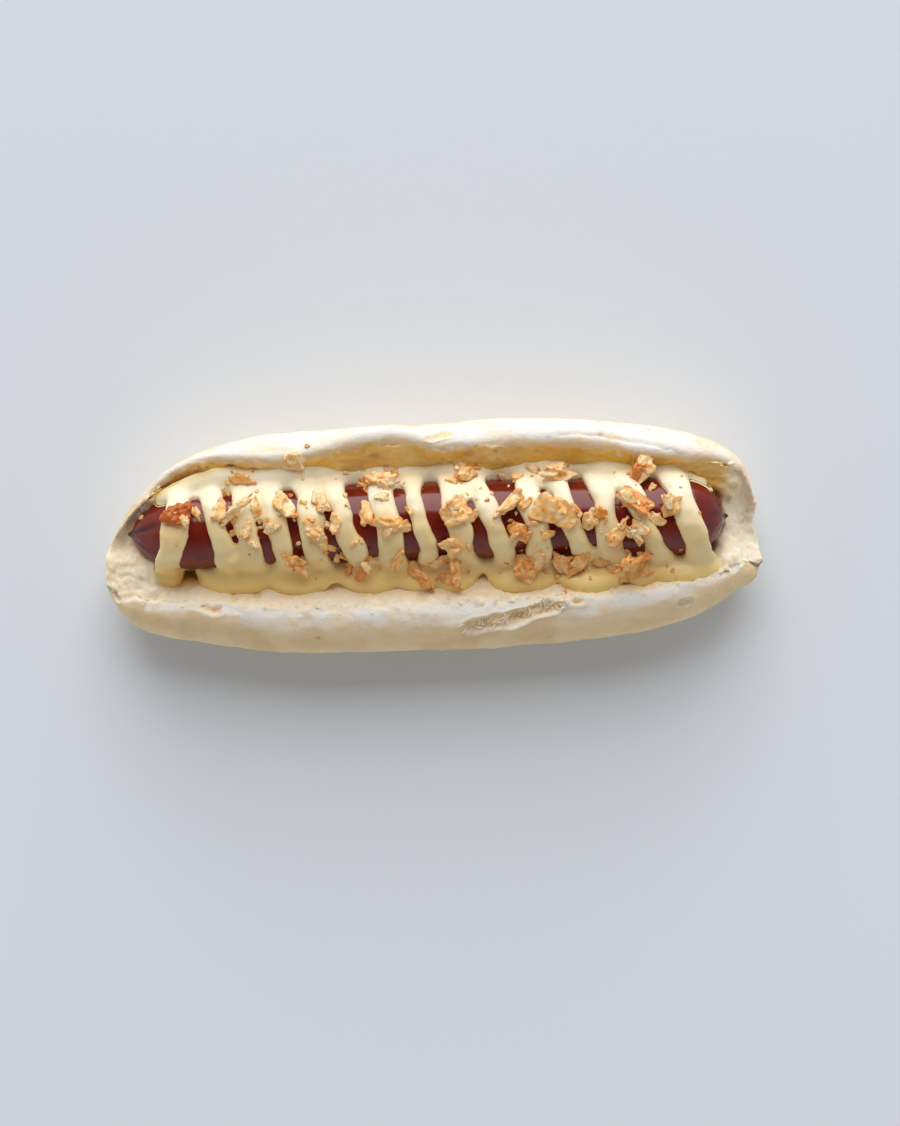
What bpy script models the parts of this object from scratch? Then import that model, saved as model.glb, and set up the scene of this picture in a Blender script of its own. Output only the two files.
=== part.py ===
"""A hot dog: a pale soft roll split along its top, one frankfurter, melted cheese sauce and fried onion.

X runs along the roll, +Y from its low front half to its high back half, and Z up.
The roll rests on Z = 0, and the origin is at the centre of the base of the whole thing.
"""

import math

import bmesh
import bpy
import numpy as np
from mathutils import Matrix, Vector, noise
from mathutils.bvhtree import BVHTree

MM = 0.001

# Driving dimensions
ROLL_LENGTH = 200 * MM
ROLL_WIDTH = 69 * MM
BACK_LIP_HEIGHT = 34 * MM
FRONT_LIP_HEIGHT = 31 * MM
SAUSAGE_LENGTH = 179 * MM
SAUSAGE_RADIUS = 12 * MM
SAUSAGE_AXIS_HEIGHT = 24 * MM
SAUSAGE_LEFT_TIP = -91.5 * MM
LEFT_CAP, RIGHT_CAP = 17 * MM, 13 * MM  # the lengths over which its ends round off
RIBBON_THICKNESS = 1.9 * MM
POOL_LEVEL = 24.9 * MM
HEAPED = 4.6 * MM  # how much higher the back pool stands towards its left end, where it meets the lip
GAP = 0.3 * MM  # between any two neighbours

LEFT_POINTEDNESS, RIGHT_POINTEDNESS = 0.62, 0.52  # 0.5 would be an ellipse

# How finely each shape is sampled
ROLL_STATIONS = 40
SAUSAGE_RINGS_IN_CAP = 7
SAUSAGE_RINGS_BETWEEN = 10
SAUSAGE_SIDES = 22
POOL_STATIONS = 32
RIBBON_STEPS = 9

HALF_LENGTH = ROLL_LENGTH / 2
HALF_WIDTH = ROLL_WIDTH / 2
SAUSAGE_RIGHT_TIP = SAUSAGE_LEFT_TIP + SAUSAGE_LENGTH
NOSE_HEIGHT = 13 * MM  # where both ends of the roll come to their blunt points
BED_HALF_ANGLE = math.radians(60)  # of the round bed that the sausage lies in
BED_LEFT, BED_RIGHT = -80 * MM, 86 * MM  # past these the pocket narrows with the roll
FILLED_FROM = -88 * MM  # left of this the pocket fills up

# The roll's outer skin, from the back lip under the base to the front lip: each point is
# a share of the half width (positive to the back) and a height at the roll's middle.
OUTER_SKIN = (
    (0.800, BACK_LIP_HEIGHT - 0.6 * MM),
    (0.870, BACK_LIP_HEIGHT),
    (0.940, 31.0 * MM),
    (0.985, 26.0 * MM),
    (1.000, 19.0 * MM),
    (0.970, 11.0 * MM),
    (0.860, 4.5 * MM),
    (0.660, 0.6 * MM),
    (0.400, -1.2 * MM),
    (0.000, -1.6 * MM),
    (-0.400, -1.2 * MM),
    (-0.660, 0.6 * MM),
    (-0.870, 4.5 * MM),
    (-0.975, 10.0 * MM),
    (-1.000, 16.0 * MM),
    (-0.970, 22.0 * MM),
    (-0.890, 27.0 * MM),
    (-0.770, FRONT_LIP_HEIGHT - 0.8 * MM),
    (-0.650, FRONT_LIP_HEIGHT),
)
OUTER_POINTS = 22
BACK_EDGE = (0.775, BACK_LIP_HEIGHT - 1.6 * MM)  # where the skin ends and the crumb begins
FRONT_EDGE = (-0.600, FRONT_LIP_HEIGHT - 0.6 * MM)
WALL_SHARES = (1.0, 0.8, 0.6, 0.4, 0.2)
BED_STEPS = 8
WALL_HOLLOW = 1.2 * MM

# Each ribbon of sauce crosses the sausage from back to front. Its place along X is given
# where it comes over the back shoulder and where it leaves the front one, with its width.
RIBBONS = (
    (-75.5, -79.0, 7.6),
    (-66.3, -62.8, 6.3),
    (-57.0, -54.4, 6.3),
    (-48.9, -45.2, 6.6),
    (-38.1, -35.5, 6.8),
    (-30.0, -23.6, 6.6),
    (-15.8, -13.0, 7.6),
    (-6.3, -2.0, 5.8),
    (5.2, 8.0, 7.2),
    (13.3, 20.0, 6.2),
    (27.7, 31.2, 6.9),
    (36.6, 43.3, 6.6),
    (49.3, 52.7, 7.2),
    (58.0, 65.7, 6.7),
    (72.2, 78.3, 8.2),
)
BACK_SHOULDER, FRONT_SHOULDER = 9.0 * MM, -7.8 * MM
RIBBON_REACH = math.radians(88)
FIRST_RIBBON_REACH = math.radians(64)  # to the back, where the roll's lip is close to the sausage

# Fried onion: place along X and Y, length, width, turn about Z in degrees.
FLAKES = (
    (-76.3, 6.3, 8.4, 7.4, 30),
    (-59.0, 7.6, 12.2, 4.2, 45),
    (-44.6, 9.0, 9.6, 6.3, 110),
    (-42.1, 22.0, 6.8, 6.4, 0),
    (-41.7, -8.5, 11.6, 4.5, -42),
    (-35.5, 0.8, 11.6, 4.0, -50),
    (-33.6, 10.2, 7.6, 5.6, 90),
    (-21.4, -9.9, 8.6, 3.2, 62),
    (-16.6, 16.6, 8.8, 4.8, 0),
    (-12.2, 3.0, 11.4, 4.6, -5),
    (-4.2, -12.0, 10.0, 4.2, -47),
    (6.3, 6.8, 11.2, 8.6, 70),
    (5.6, -3.4, 8.4, 6.8, 0),
    (7.0, -11.6, 8.2, 4.2, 85),
    (9.7, 18.6, 6.8, 5.2, 0),
    (22.4, 9.6, 11.6, 3.6, 43),
    (24.8, 1.4, 7.4, 5.6, -50),
    (27.7, -9.8, 9.4, 7.4, -60),
    (36.7, 18.6, 11.6, 6.2, 5),
    (36.2, 7.3, 13.4, 8.6, -15),
    (37.8, -8.3, 8.4, 7.0, -60),
    (45.2, -12.6, 8.4, 3.8, -30),
    (46.6, 4.8, 8.0, 4.6, 65),
    (60.3, 9.9, 8.6, 7.0, -20),
    (58.7, 0.6, 9.0, 4.2, -40),
    (59.4, -8.0, 12.0, 3.4, 32),
    (62.0, 20.6, 8.2, 6.8, 45),
    (70.4, 8.6, 7.4, 5.8, 45),
)
FLAKE_THICKNESS = 2.2 * MM
STEEPEST_FLAKE = math.radians(42)


# ---------------------------------------------------------------- curves of the design


def smoothstep(low, high, value):
    """0 below low, 1 above high, and an even S between them."""
    t = min(max((value - low) / (high - low), 0.0), 1.0)
    return t * t * (3 - 2 * t)


def spline(points, count):
    """count points, evenly spaced by parameter, on a Catmull-Rom curve through points."""
    p = np.array(points, float)
    p = np.vstack([2 * p[0] - p[1], p, 2 * p[-1] - p[-2]])
    made = []
    for at in np.linspace(0, len(points) - 1, count):
        i = min(int(at), len(points) - 2)
        t = at - i
        a, b, c, d = p[i : i + 4]
        made.append(
            0.5 * (2 * b + (c - a) * t + (2 * a - 5 * b + 4 * c - d) * t**2 + (3 * b - a - 3 * c + d) * t**3)
        )
    return np.array(made)


def half_width(x):
    """Half the roll's width at x: a long oval whose right end is the blunter one."""
    share = abs(x) / HALF_LENGTH
    fullness, bluntness = (3.4, 0.5) if x < 0 else (3.5, 0.4)
    return HALF_WIDTH * (1 - share**fullness) ** bluntness


def middle(x):
    """The roll's middle line in Y. It lies a little askew, and both noses turn forward."""
    left_turn = 5.6 * MM * smoothstep(0.68 * HALF_LENGTH, HALF_LENGTH, -x)
    right_turn = 7 * MM * smoothstep(0.92 * HALF_LENGTH, HALF_LENGTH, x)
    return -0.2 * MM + 0.044 * x - left_turn - right_turn


def swell(x):
    """How much of its full height the roll keeps at x."""
    return (1 - (abs(x) / HALF_LENGTH) ** 8) ** 0.5


def sausage_axis(x):
    """The sausage's centre (y, z) at x. It bows a little to the back."""
    return np.array([4.6 * MM + 0.030 * x - 0.16 * x**2, SAUSAGE_AXIS_HEIGHT])


def sausage_radius(x):
    """The radius at x, full along the middle and rounding off to a tip at each end."""
    inside = min(x - SAUSAGE_LEFT_TIP, SAUSAGE_RIGHT_TIP - x)
    cap, pointedness = (LEFT_CAP, LEFT_POINTEDNESS) if x < 0 else (RIGHT_CAP, RIGHT_POINTEDNESS)
    if inside >= cap:
        return SAUSAGE_RADIUS
    return SAUSAGE_RADIUS * (1 - (1 - max(inside, 0) / cap) ** 2) ** pointedness


def from_mid_height(z, x):
    """A height at the roll's middle, brought towards the nose's height as the roll tapers."""
    return NOSE_HEIGHT + (z - NOSE_HEIGHT) * swell(x)


def skin_point(share, z, x):
    """(y, z) of a point of the outer skin at x. What would sink through the table is pressed flat."""
    return middle(x) + share * half_width(x), max(from_mid_height(z, x), 0.0)


def wall_ends(x, side):
    """The pocket wall's foot, where it leaves the bed, and its head at the lip. side is 1 at the back."""
    reach = SAUSAGE_RADIUS + GAP
    foot = sausage_axis(x) + reach * np.array([side * math.sin(BED_HALF_ANGLE), -math.cos(BED_HALF_ANGLE)])
    head = np.array(skin_point(*(BACK_EDGE if side > 0 else FRONT_EDGE), x))
    return foot, head


def wall_point(x, side, share):
    """(y, z) on the pocket's wall, from its foot at share 0 to its lip at share 1."""
    foot, head = wall_ends(x, side)
    hollow = np.array([side * WALL_HOLLOW * math.sin(math.pi * share), 0])
    return foot + (head - foot) * share + hollow


def wall_share_at(x, side, z):
    """The share at which the pocket's wall reaches height z."""
    foot, head = wall_ends(x, side)
    return (z - foot[1]) / (head[1] - foot[1])


# ---------------------------------------------------------------- meshes and objects


def add_object(name, mesh, colour, roughness):
    """A smooth-shaded object with a material of its own."""
    material = bpy.data.materials.new(name)
    material.use_nodes = True
    shader = material.node_tree.nodes["Principled BSDF"]
    shader.inputs["Base Color"].default_value = (*colour, 1)
    shader.inputs["Roughness"].default_value = roughness
    shader.inputs["Metallic"].default_value = 0.0
    mesh.materials.append(material)
    mesh.shade_smooth()
    made = bpy.data.objects.new(name, mesh)
    bpy.context.scene.collection.objects.link(made)
    return made


def loft(name, loops):
    """A closed mesh through equal rings of points, with a face over each end."""
    mesh_data = bmesh.new()
    rings = [[mesh_data.verts.new(p) for p in loop] for loop in loops]
    count = len(rings[0])
    for here, there in zip(rings, rings[1:]):
        for i in range(count):
            j = (i + 1) % count
            mesh_data.faces.new((here[i], here[j], there[j], there[i]))
    mesh_data.faces.new(rings[0][::-1])
    mesh_data.faces.new(rings[-1])
    bmesh.ops.triangulate(mesh_data, faces=mesh_data.faces)
    bmesh.ops.recalc_face_normals(mesh_data, faces=mesh_data.faces)
    mesh = bpy.data.meshes.new(name)
    mesh_data.to_mesh(mesh)
    mesh_data.free()
    return mesh


def evaluated_tree(obj):
    """A tree of the object's faces as its modifiers leave them, for finding what lies under a point."""
    return BVHTree.FromObject(obj, bpy.context.evaluated_depsgraph_get())


# ---------------------------------------------------------------- the roll


def pocket_path(x):
    """(y, z) points of the pocket from the back lip, round the sausage's bed, to the front lip."""
    station = min(max(x, BED_LEFT), BED_RIGHT)
    reach = SAUSAGE_RADIUS + GAP
    centre = sausage_axis(station)
    bed = [
        centre + reach * np.array([math.sin(angle), -math.cos(angle)])
        for angle in np.linspace(BED_HALF_ANGLE, -BED_HALF_ANGLE, BED_STEPS + 1)
    ]
    back = [wall_point(station, 1, share) for share in WALL_SHARES]
    front = [wall_point(station, -1, share) for share in reversed(WALL_SHARES)]
    path = np.array(back + bed + front)
    # Past the bed's ends the pocket shrinks with the roll, and at the left end it fills up.
    path[:, 0] = middle(x) + (path[:, 0] - middle(station)) * half_width(x) / half_width(station)
    path[:, 1] = NOSE_HEIGHT + (path[:, 1] - NOSE_HEIGHT) * swell(x) / swell(station)
    filled = 0.85 * smoothstep(0, 9 * MM, FILLED_FROM - x)
    lip = min(path[0, 1], path[-1, 1])
    path[:, 1] += (lip - path[:, 1]) * filled
    return path


def roll_mesh():
    """The split roll: its outer skin and the pocket, lofted from nose to nose."""
    loops = []
    steepest = math.asin(0.996)  # the last station, just short of the nose
    for angle in np.linspace(-steepest, steepest, ROLL_STATIONS):
        x = HALF_LENGTH * math.sin(angle)
        skin = [skin_point(share, z, x) for share, z in spline(OUTER_SKIN, OUTER_POINTS)]
        pocket = pocket_path(x)
        # The split runs out through the right end, where the pocket's floor is set back.
        set_back = 5 * MM * smoothstep(BED_RIGHT, HALF_LENGTH, x)
        bed = np.sin(np.linspace(0, math.pi, len(pocket))) ** 2
        loop = [(x, y, z) for y, z in skin]
        loop += [(x - set_back * b, y, z) for (y, z), b in zip(pocket[::-1], bed)]
        loops.append(loop)
    return loft("roll", loops)


# ---------------------------------------------------------------- the sausage


def sausage_mesh():
    """The frankfurter: a long casing gathered into pleats and a twisted nib at each tip."""
    nib_length, nib_radius = 1.2 * MM, 0.9 * MM
    pleats, pleat_depth = 6, 0.05
    in_cap = [1 - math.cos(t) for t in np.linspace(0, math.pi / 2, SAUSAGE_RINGS_IN_CAP + 1)[1:]]
    left = [SAUSAGE_LEFT_TIP + LEFT_CAP * d for d in in_cap]
    right = [SAUSAGE_RIGHT_TIP - RIGHT_CAP * d for d in reversed(in_cap)]
    between = np.linspace(left[-1], right[0], SAUSAGE_RINGS_BETWEEN + 1)[1:-1]
    stations = [(SAUSAGE_LEFT_TIP - nib_length, nib_radius * 0.7), (SAUSAGE_LEFT_TIP, nib_radius)]
    stations += [(x, sausage_radius(x)) for x in (*left, *between, *right)]
    stations += [(SAUSAGE_RIGHT_TIP, nib_radius), (SAUSAGE_RIGHT_TIP + nib_length, nib_radius * 0.7)]
    loops = []
    for x, radius in stations:
        y, z = sausage_axis(x)
        inside = min(x - SAUSAGE_LEFT_TIP, SAUSAGE_RIGHT_TIP - x)
        gathered = pleat_depth * (1 - smoothstep(0, 0.7 * RIGHT_CAP, inside)) if inside > 0 else 0
        loop = []
        for turn in np.linspace(0, 2 * math.pi, SAUSAGE_SIDES, endpoint=False):
            r = radius * (1 - gathered * (1 + math.cos(pleats * turn)))
            loop.append((x, y + r * math.cos(turn), z + r * math.sin(turn)))
        loops.append(loop)
    return loft("sausage", loops)


# ---------------------------------------------------------------- the cheese sauce


def ribbon_line(ribbon):
    """The ribbon's (x where it crosses the back shoulder, x at the front one, width), in metres."""
    return tuple(value * MM for value in ribbon)


def ribbon_x(back, front, y):
    """Where along X the ribbon is when it is y in front of or behind the sausage's axis."""
    return back + (front - back) * (BACK_SHOULDER - y) / (BACK_SHOULDER - FRONT_SHOULDER)


def ribbon_mesh(ribbon):
    """One ribbon: a band with a rounded top that bends over the sausage and spreads at its feet."""
    back, front, width = ribbon_line(ribbon)
    underside = SAUSAGE_RADIUS + 1.5 * GAP
    loops = []
    reach = FIRST_RIBBON_REACH if ribbon is RIBBONS[0] else RIBBON_REACH
    for angle in np.linspace(reach, -RIBBON_REACH, RIBBON_STEPS + 1):
        out = underside * math.sin(angle)
        x = ribbon_x(back, front, out)
        y, z = sausage_axis(x)
        half = width / 2 * (1 + 0.3 * smoothstep(math.radians(50), RIBBON_REACH, abs(angle)))
        profile = (
            (-half, 0),
            (half, 0),
            (0.92 * half, 0.45),
            (0.50 * half, 0.95),
            (-0.50 * half, 0.95),
            (-0.92 * half, 0.45),
        )
        loop = []
        for aside, share in profile:
            r = underside + share * RIBBON_THICKNESS
            loop.append((x + aside, y + r * math.sin(angle), z + r * math.cos(angle)))
        loops.append(loop)
    return loft("ribbon", loops)


def pool_level(x, side):
    """Height of the pooled sauce at x. It is highest where a ribbon's foot runs into it."""
    edge = BACK_SHOULDER if side > 0 else FRONT_SHOULDER
    foot_reach = 1.5 * edge
    lobe = 0.0
    for ribbon in RIBBONS:
        back, front, width = ribbon_line(ribbon)
        away = (x - ribbon_x(back, front, foot_reach)) / (0.75 * width)
        lobe = max(lobe, math.exp(-(away**2)))
    heap = HEAPED * (1 - smoothstep(-48 * MM, -14 * MM, x)) if side > 0 else 0.0
    return POOL_LEVEL + heap + 1.9 * MM * lobe * (1 - 0.8 * heap / HEAPED)


def pool_mesh(side, start, end):
    """The sauce that has run down between the sausage and one wall of the pocket."""
    clear = 1.4 * GAP
    lowest_angle = math.radians(78)
    taper = 6 * MM
    loops = []
    for angle in np.linspace(-math.pi / 2, math.pi / 2, POOL_STATIONS):
        x = (start + end) / 2 + (end - start) / 2 * math.sin(angle)
        centre = sausage_axis(x)
        level = pool_level(x, side)
        reach = SAUSAGE_RADIUS + clear
        top_angle = math.acos((centre[1] - level) / reach)
        beside = [
            centre + reach * np.array([side * math.sin(a), -math.cos(a)])
            for a in np.linspace(lowest_angle, top_angle, 3)
        ]
        top_share = wall_share_at(x, side, level)
        low_share = wall_share_at(x, side, beside[0][1] + 0.3 * MM)
        inward = np.array([-side * 1.6 * clear, 0])
        wall = [wall_point(x, side, share) + inward for share in np.linspace(top_share, low_share, 3)]
        crown = (beside[-1] + wall[0]) / 2 + np.array([0, 0.7 * MM])
        ring = np.array([*beside, crown, *wall])
        kept = min(1.0, (0.02 + min(x - start, end - x) / taper)) ** 0.5
        ring = ring.mean(0) + (ring - ring.mean(0)) * kept
        loops.append([(x, y, z) for y, z in ring])
    return loft("pool", loops)


def add_sauce():
    """One solid of sauce: the back pool, the front pool and the ribbons that join them."""
    sauce = add_object("cheese_sauce", pool_mesh(1, -76 * MM, 79 * MM), (0.84, 0.65, 0.27), 0.3)
    joined = bpy.data.collections.new("sauce_pieces")
    bpy.context.scene.collection.children.link(joined)
    meshes = [pool_mesh(-1, -82 * MM, 86 * MM), *(ribbon_mesh(ribbon) for ribbon in RIBBONS)]
    for mesh in meshes:
        piece = bpy.data.objects.new(mesh.name, mesh)
        piece.hide_render = True
        piece.display_type = "WIRE"
        joined.objects.link(piece)
    union = sauce.modifiers.new("join", "BOOLEAN")
    union.operation = "UNION"
    union.operand_type = "COLLECTION"
    union.collection = joined
    union.solver = "EXACT"
    return sauce


# ---------------------------------------------------------------- the fried onion


def flake_mesh(name, length, width, seed):
    """A crisp chip of onion: a flat lumpy blob, curled along its length."""
    mesh_data = bmesh.new()
    bmesh.ops.create_icosphere(mesh_data, subdivisions=2, radius=1)
    curl = (0.35 + 0.25 * noise.noise((seed, 0.5, 0.5))) * FLAKE_THICKNESS
    for vert in mesh_data.verts:
        lump = 1 + 0.34 * noise.noise(vert.co * 1.3 + Vector((seed * 7.1, 0, 0)))
        flat = math.copysign(abs(vert.co.z) ** 0.7, vert.co.z)
        vert.co = Vector(
            (
                vert.co.x * length / 2 * lump,
                vert.co.y * width / 2 * lump,
                flat * FLAKE_THICKNESS / 2 * lump - curl * vert.co.x**2,
            )
        )
    mesh = bpy.data.meshes.new(name)
    mesh_data.to_mesh(mesh)
    mesh_data.free()
    return mesh


def height_under(trees, x, y):
    """Height of the highest surface under (x, y), or None off the edge."""
    hits = [tree.ray_cast(Vector((x, y, 100 * MM)), Vector((0, 0, -1)))[0] for tree in trees]
    heights = [hit.z for hit in hits if hit]
    return max(heights) if heights else None


def slope_under(trees, x, y, reach):
    """The upward direction of what lies under (x, y), taken over the given reach."""
    here = height_under(trees, x, y)
    east, west = (height_under(trees, x + d, y) or here for d in (reach, -reach))
    north, south = (height_under(trees, x, y + d) or here for d in (reach, -reach))
    up = Vector(((west - east) / (2 * reach), (south - north) / (2 * reach), 1)).normalized()
    tilt = up.angle(Vector((0, 0, 1)))
    if tilt > STEEPEST_FLAKE:
        up = Vector((0, 0, 1)).slerp(up, STEEPEST_FLAKE / tilt)
    return up


def add_flake(number, flake, trees):
    """Lays one piece of onion on what is already there, just clear of it."""
    x, y, length, width = (value * MM for value in flake[:4])
    name = f"onion_{number:02d}"
    mesh = flake_mesh(name, length, width, number)
    up = slope_under(trees, x, y, width / 2)
    lean = Vector((0, 0, 1)).rotation_difference(up).to_matrix().to_4x4()
    turned = lean @ Matrix.Rotation(math.radians(flake[4]), 4, "Z")
    mesh.transform(turned)
    places = [vert.co for vert in mesh.vertices] + [face.center for face in mesh.polygons]
    lift = 0.0
    for place in places:
        ground = height_under(trees, x + place.x, y + place.y)
        if ground is not None:
            lift = max(lift, ground - place.z)
    mesh.transform(Matrix.Translation((x, y, lift + 1.2 * GAP)))
    return add_object(name, mesh, (0.58, 0.29, 0.09), 0.5)


# ---------------------------------------------------------------- the whole hot dog


def main():
    """Builds every piece and stands the whole on the origin."""
    for obj in list(bpy.data.objects):
        bpy.data.objects.remove(obj)
    roll = add_object("roll", roll_mesh(), (0.79, 0.66, 0.46), 0.8)
    sausage = add_object("sausage", sausage_mesh(), (0.17, 0.022, 0.016), 0.25)
    sauce = add_sauce()
    bpy.context.view_layer.update()
    pieces = [roll, sausage, sauce]
    trees = [evaluated_tree(piece) for piece in pieces]
    for number, flake in enumerate(FLAKES, start=1):
        onion = add_flake(number, flake, trees)
        bpy.context.view_layer.update()
        trees.append(evaluated_tree(onion))
        pieces.append(onion)
    corners = np.array([vert.co for piece in pieces for vert in piece.data.vertices])
    centre = (corners.min(0) + corners.max(0)) / 2
    stand = bpy.data.objects.new("hot_dog", None)
    bpy.context.scene.collection.objects.link(stand)
    for piece in [*pieces, *bpy.data.collections["sauce_pieces"].objects]:
        piece.parent = stand
    stand.location = (-centre[0], -centre[1], 0)


main()
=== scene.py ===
"""The looks of a hot dog: split roll, frankfurter, ribbons of melted cheese sauce and fried onion.

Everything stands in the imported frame: X along the roll, +Y from its low front half to its
high back half, Z up from the surface that it lies on. Lengths are in metres.
"""

from __future__ import annotations

import logging
import math
import random
from dataclasses import dataclass
from enum import Enum

import bpy
import numpy as np
from bpy.types import Material, NodeSocket, Object
from mathutils import Matrix, Vector, noise
from mathutils.bvhtree import BVHTree

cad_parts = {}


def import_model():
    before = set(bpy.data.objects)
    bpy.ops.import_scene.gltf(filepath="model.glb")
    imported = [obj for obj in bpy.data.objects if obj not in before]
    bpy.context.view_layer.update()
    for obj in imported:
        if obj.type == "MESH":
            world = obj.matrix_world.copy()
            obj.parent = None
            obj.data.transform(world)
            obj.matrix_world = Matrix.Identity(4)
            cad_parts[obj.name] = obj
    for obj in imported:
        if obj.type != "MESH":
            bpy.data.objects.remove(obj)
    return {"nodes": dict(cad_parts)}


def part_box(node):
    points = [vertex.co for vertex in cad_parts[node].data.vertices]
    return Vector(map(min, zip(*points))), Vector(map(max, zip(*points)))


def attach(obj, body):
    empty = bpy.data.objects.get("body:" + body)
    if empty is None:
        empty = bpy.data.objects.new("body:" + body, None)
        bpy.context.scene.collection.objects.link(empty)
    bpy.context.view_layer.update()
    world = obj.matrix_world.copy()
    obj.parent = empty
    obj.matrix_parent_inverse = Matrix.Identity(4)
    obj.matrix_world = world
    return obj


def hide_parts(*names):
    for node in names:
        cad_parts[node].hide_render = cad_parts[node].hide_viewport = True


MM = 0.001
BODY = "root"
MERGE_DISTANCE = 0.01 * MM

Colour = tuple[float, float, float]
log = logging.getLogger("hot_dog")


class Slot(Enum):
    """The record's material slots."""

    ROLL = "roll"
    SAUSAGE = "sausage"
    SAUCE = "cheese_sauce"
    ONION = "fried_onion"


# ---------------------------------------------------------------- work on arrays of points


def smoothstep(low: float, high: float, value: np.ndarray) -> np.ndarray:
    """An even S from 0 at low to 1 at high. With high below low it falls instead."""
    t = np.clip((value - low) / (high - low), 0, 1)
    return t * t * (3 - 2 * t)


def grain(points: np.ndarray, size: float, seed: int, stretch: Colour = (1, 1, 1)) -> np.ndarray:
    """Smooth noise at each point, about -1 to 1.

    Args:
        points: The places to read it at.
        size: How large its lumps are.
        seed: Which noise it is.
        stretch: How much longer than size the lumps are along X, Y and Z.

    Returns:
        One number for each point.
    """
    scaled = points / (np.array(stretch) * size) + seed * 17.31
    return np.array([noise.noise(p) for p in scaled]) * 1.7


def bubbles(points: np.ndarray, size: float, seed: int) -> tuple[np.ndarray, np.ndarray]:
    """Cells like the bubbles of a crumb.

    Args:
        points: The places to read them at.
        size: How far apart the bubbles are.
        seed: Which set of bubbles it is.

    Returns:
        Each point's distance to its bubble's centre, in sizes, and that bubble's own number from 0 to 1.
    """
    distance = np.empty(len(points))
    number = np.empty(len(points))
    for i, place in enumerate(points / size + seed * 9.7):
        distances, centres = noise.voronoi(place)
        distance[i] = distances[0]
        centre = centres[0]
        number[i] = (math.sin(centre.x * 12.99 + centre.y * 78.23 + centre.z * 37.72) * 4375.85) % 1
    return distance, number


def orange_brown_gap(points: np.ndarray) -> np.ndarray:
    """How near each point is to the middle of the orange-brown patch in the gap under the sausage, between
    the first two ribbons, 0 to 1.
    """
    x, y = points[:, 0], points[:, 1]
    return np.exp(-((np.hypot((x + 74.5 * MM) / 1.7, y + 12.5 * MM) / (2.6 * MM)) ** 2))


def points_of(obj: Object) -> np.ndarray:
    """The places of the object's vertices."""
    flat = np.empty(len(obj.data.vertices) * 3, np.float32)
    obj.data.vertices.foreach_get("co", flat)
    return flat.reshape(-1, 3).astype(float)


def normals_of(obj: Object) -> np.ndarray:
    """The outward directions at the object's vertices."""
    flat = np.empty(len(obj.data.vertices) * 3, np.float32)
    obj.data.vertex_normals.foreach_get("vector", flat)
    return flat.reshape(-1, 3).astype(float)


def move_points(obj: Object, points: np.ndarray) -> None:
    """Puts the object's vertices at these places."""
    obj.data.vertices.foreach_set("co", points.astype(np.float32).ravel())
    obj.data.update()


def store(obj: Object, name: str, values: np.ndarray) -> None:
    """Keeps one number for each vertex, from 0 to 1, for the materials to read."""
    attribute = obj.data.attributes.get(name) or obj.data.attributes.new(name, "FLOAT", "POINT")
    attribute.data.foreach_set("value", np.clip(values, 0, 1).astype(np.float32))


def nearest(tree: BVHTree, points: np.ndarray) -> tuple[np.ndarray, np.ndarray]:
    """For each point, the vector to the closest place on a surface, and its length."""
    found = [tree.find_nearest(Vector(p))[0] for p in points]
    towards = np.array([tuple(place) for place in found]) - points
    return towards, np.linalg.norm(towards, axis=1)


# ---------------------------------------------------------------- work on objects


def select_only(*objects: Object) -> None:
    """Selects these objects and nothing else, the last one active."""
    bpy.ops.object.select_all(action="DESELECT")
    for obj in objects:
        obj.select_set(True)
        bpy.context.view_layer.objects.active = obj


def finish_with(obj: Object, kind: str, **settings: object) -> None:
    """Adds a modifier of this kind to the object and applies it."""
    select_only(obj)
    modifier = obj.modifiers.new(kind.lower(), kind)
    for name, value in settings.items():
        setattr(modifier, name, value)
    bpy.ops.object.modifier_apply(modifier=modifier.name)


def merged_copy(node: Object, name: str) -> Object:
    """A copy of a CAD node whose loose triangles are joined into one skin."""
    copy = bpy.data.objects.new(name, node.data.copy())
    copy.data.name = name
    bpy.context.scene.collection.objects.link(copy)
    copy.data.materials.clear()
    select_only(copy)
    bpy.ops.object.mode_set(mode="EDIT")
    bpy.ops.mesh.select_all(action="SELECT")
    bpy.ops.mesh.remove_doubles(threshold=MERGE_DISTANCE)
    bpy.ops.object.mode_set(mode="OBJECT")
    return copy


def remeshed(obj: Object, voxel: float, rounds: int) -> None:
    """Gives the object an even skin of small faces and relaxes it over a number of rounds."""
    finish_with(obj, "REMESH", mode="VOXEL", voxel_size=voxel)
    finish_with(obj, "SMOOTH", factor=0.5, iterations=rounds)


def tree_of(obj: Object) -> BVHTree:
    """A tree of the object's faces, for finding what is near or under a point."""
    return BVHTree.FromObject(obj, bpy.context.evaluated_depsgraph_get())


def dress(obj: Object, material: Material, slot: Slot, *stands_for: str) -> Object:
    """Shades, colours and fastens a finished piece, in the place of the CAD nodes it stands for."""
    obj.data.materials.clear()
    obj.data.materials.append(material)
    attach(obj, BODY)
    if stands_for:
        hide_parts(*stands_for)
    log.info("%s: %d faces", obj.name, len(obj.data.polygons))
    return obj


# ---------------------------------------------------------------- finishes


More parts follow.
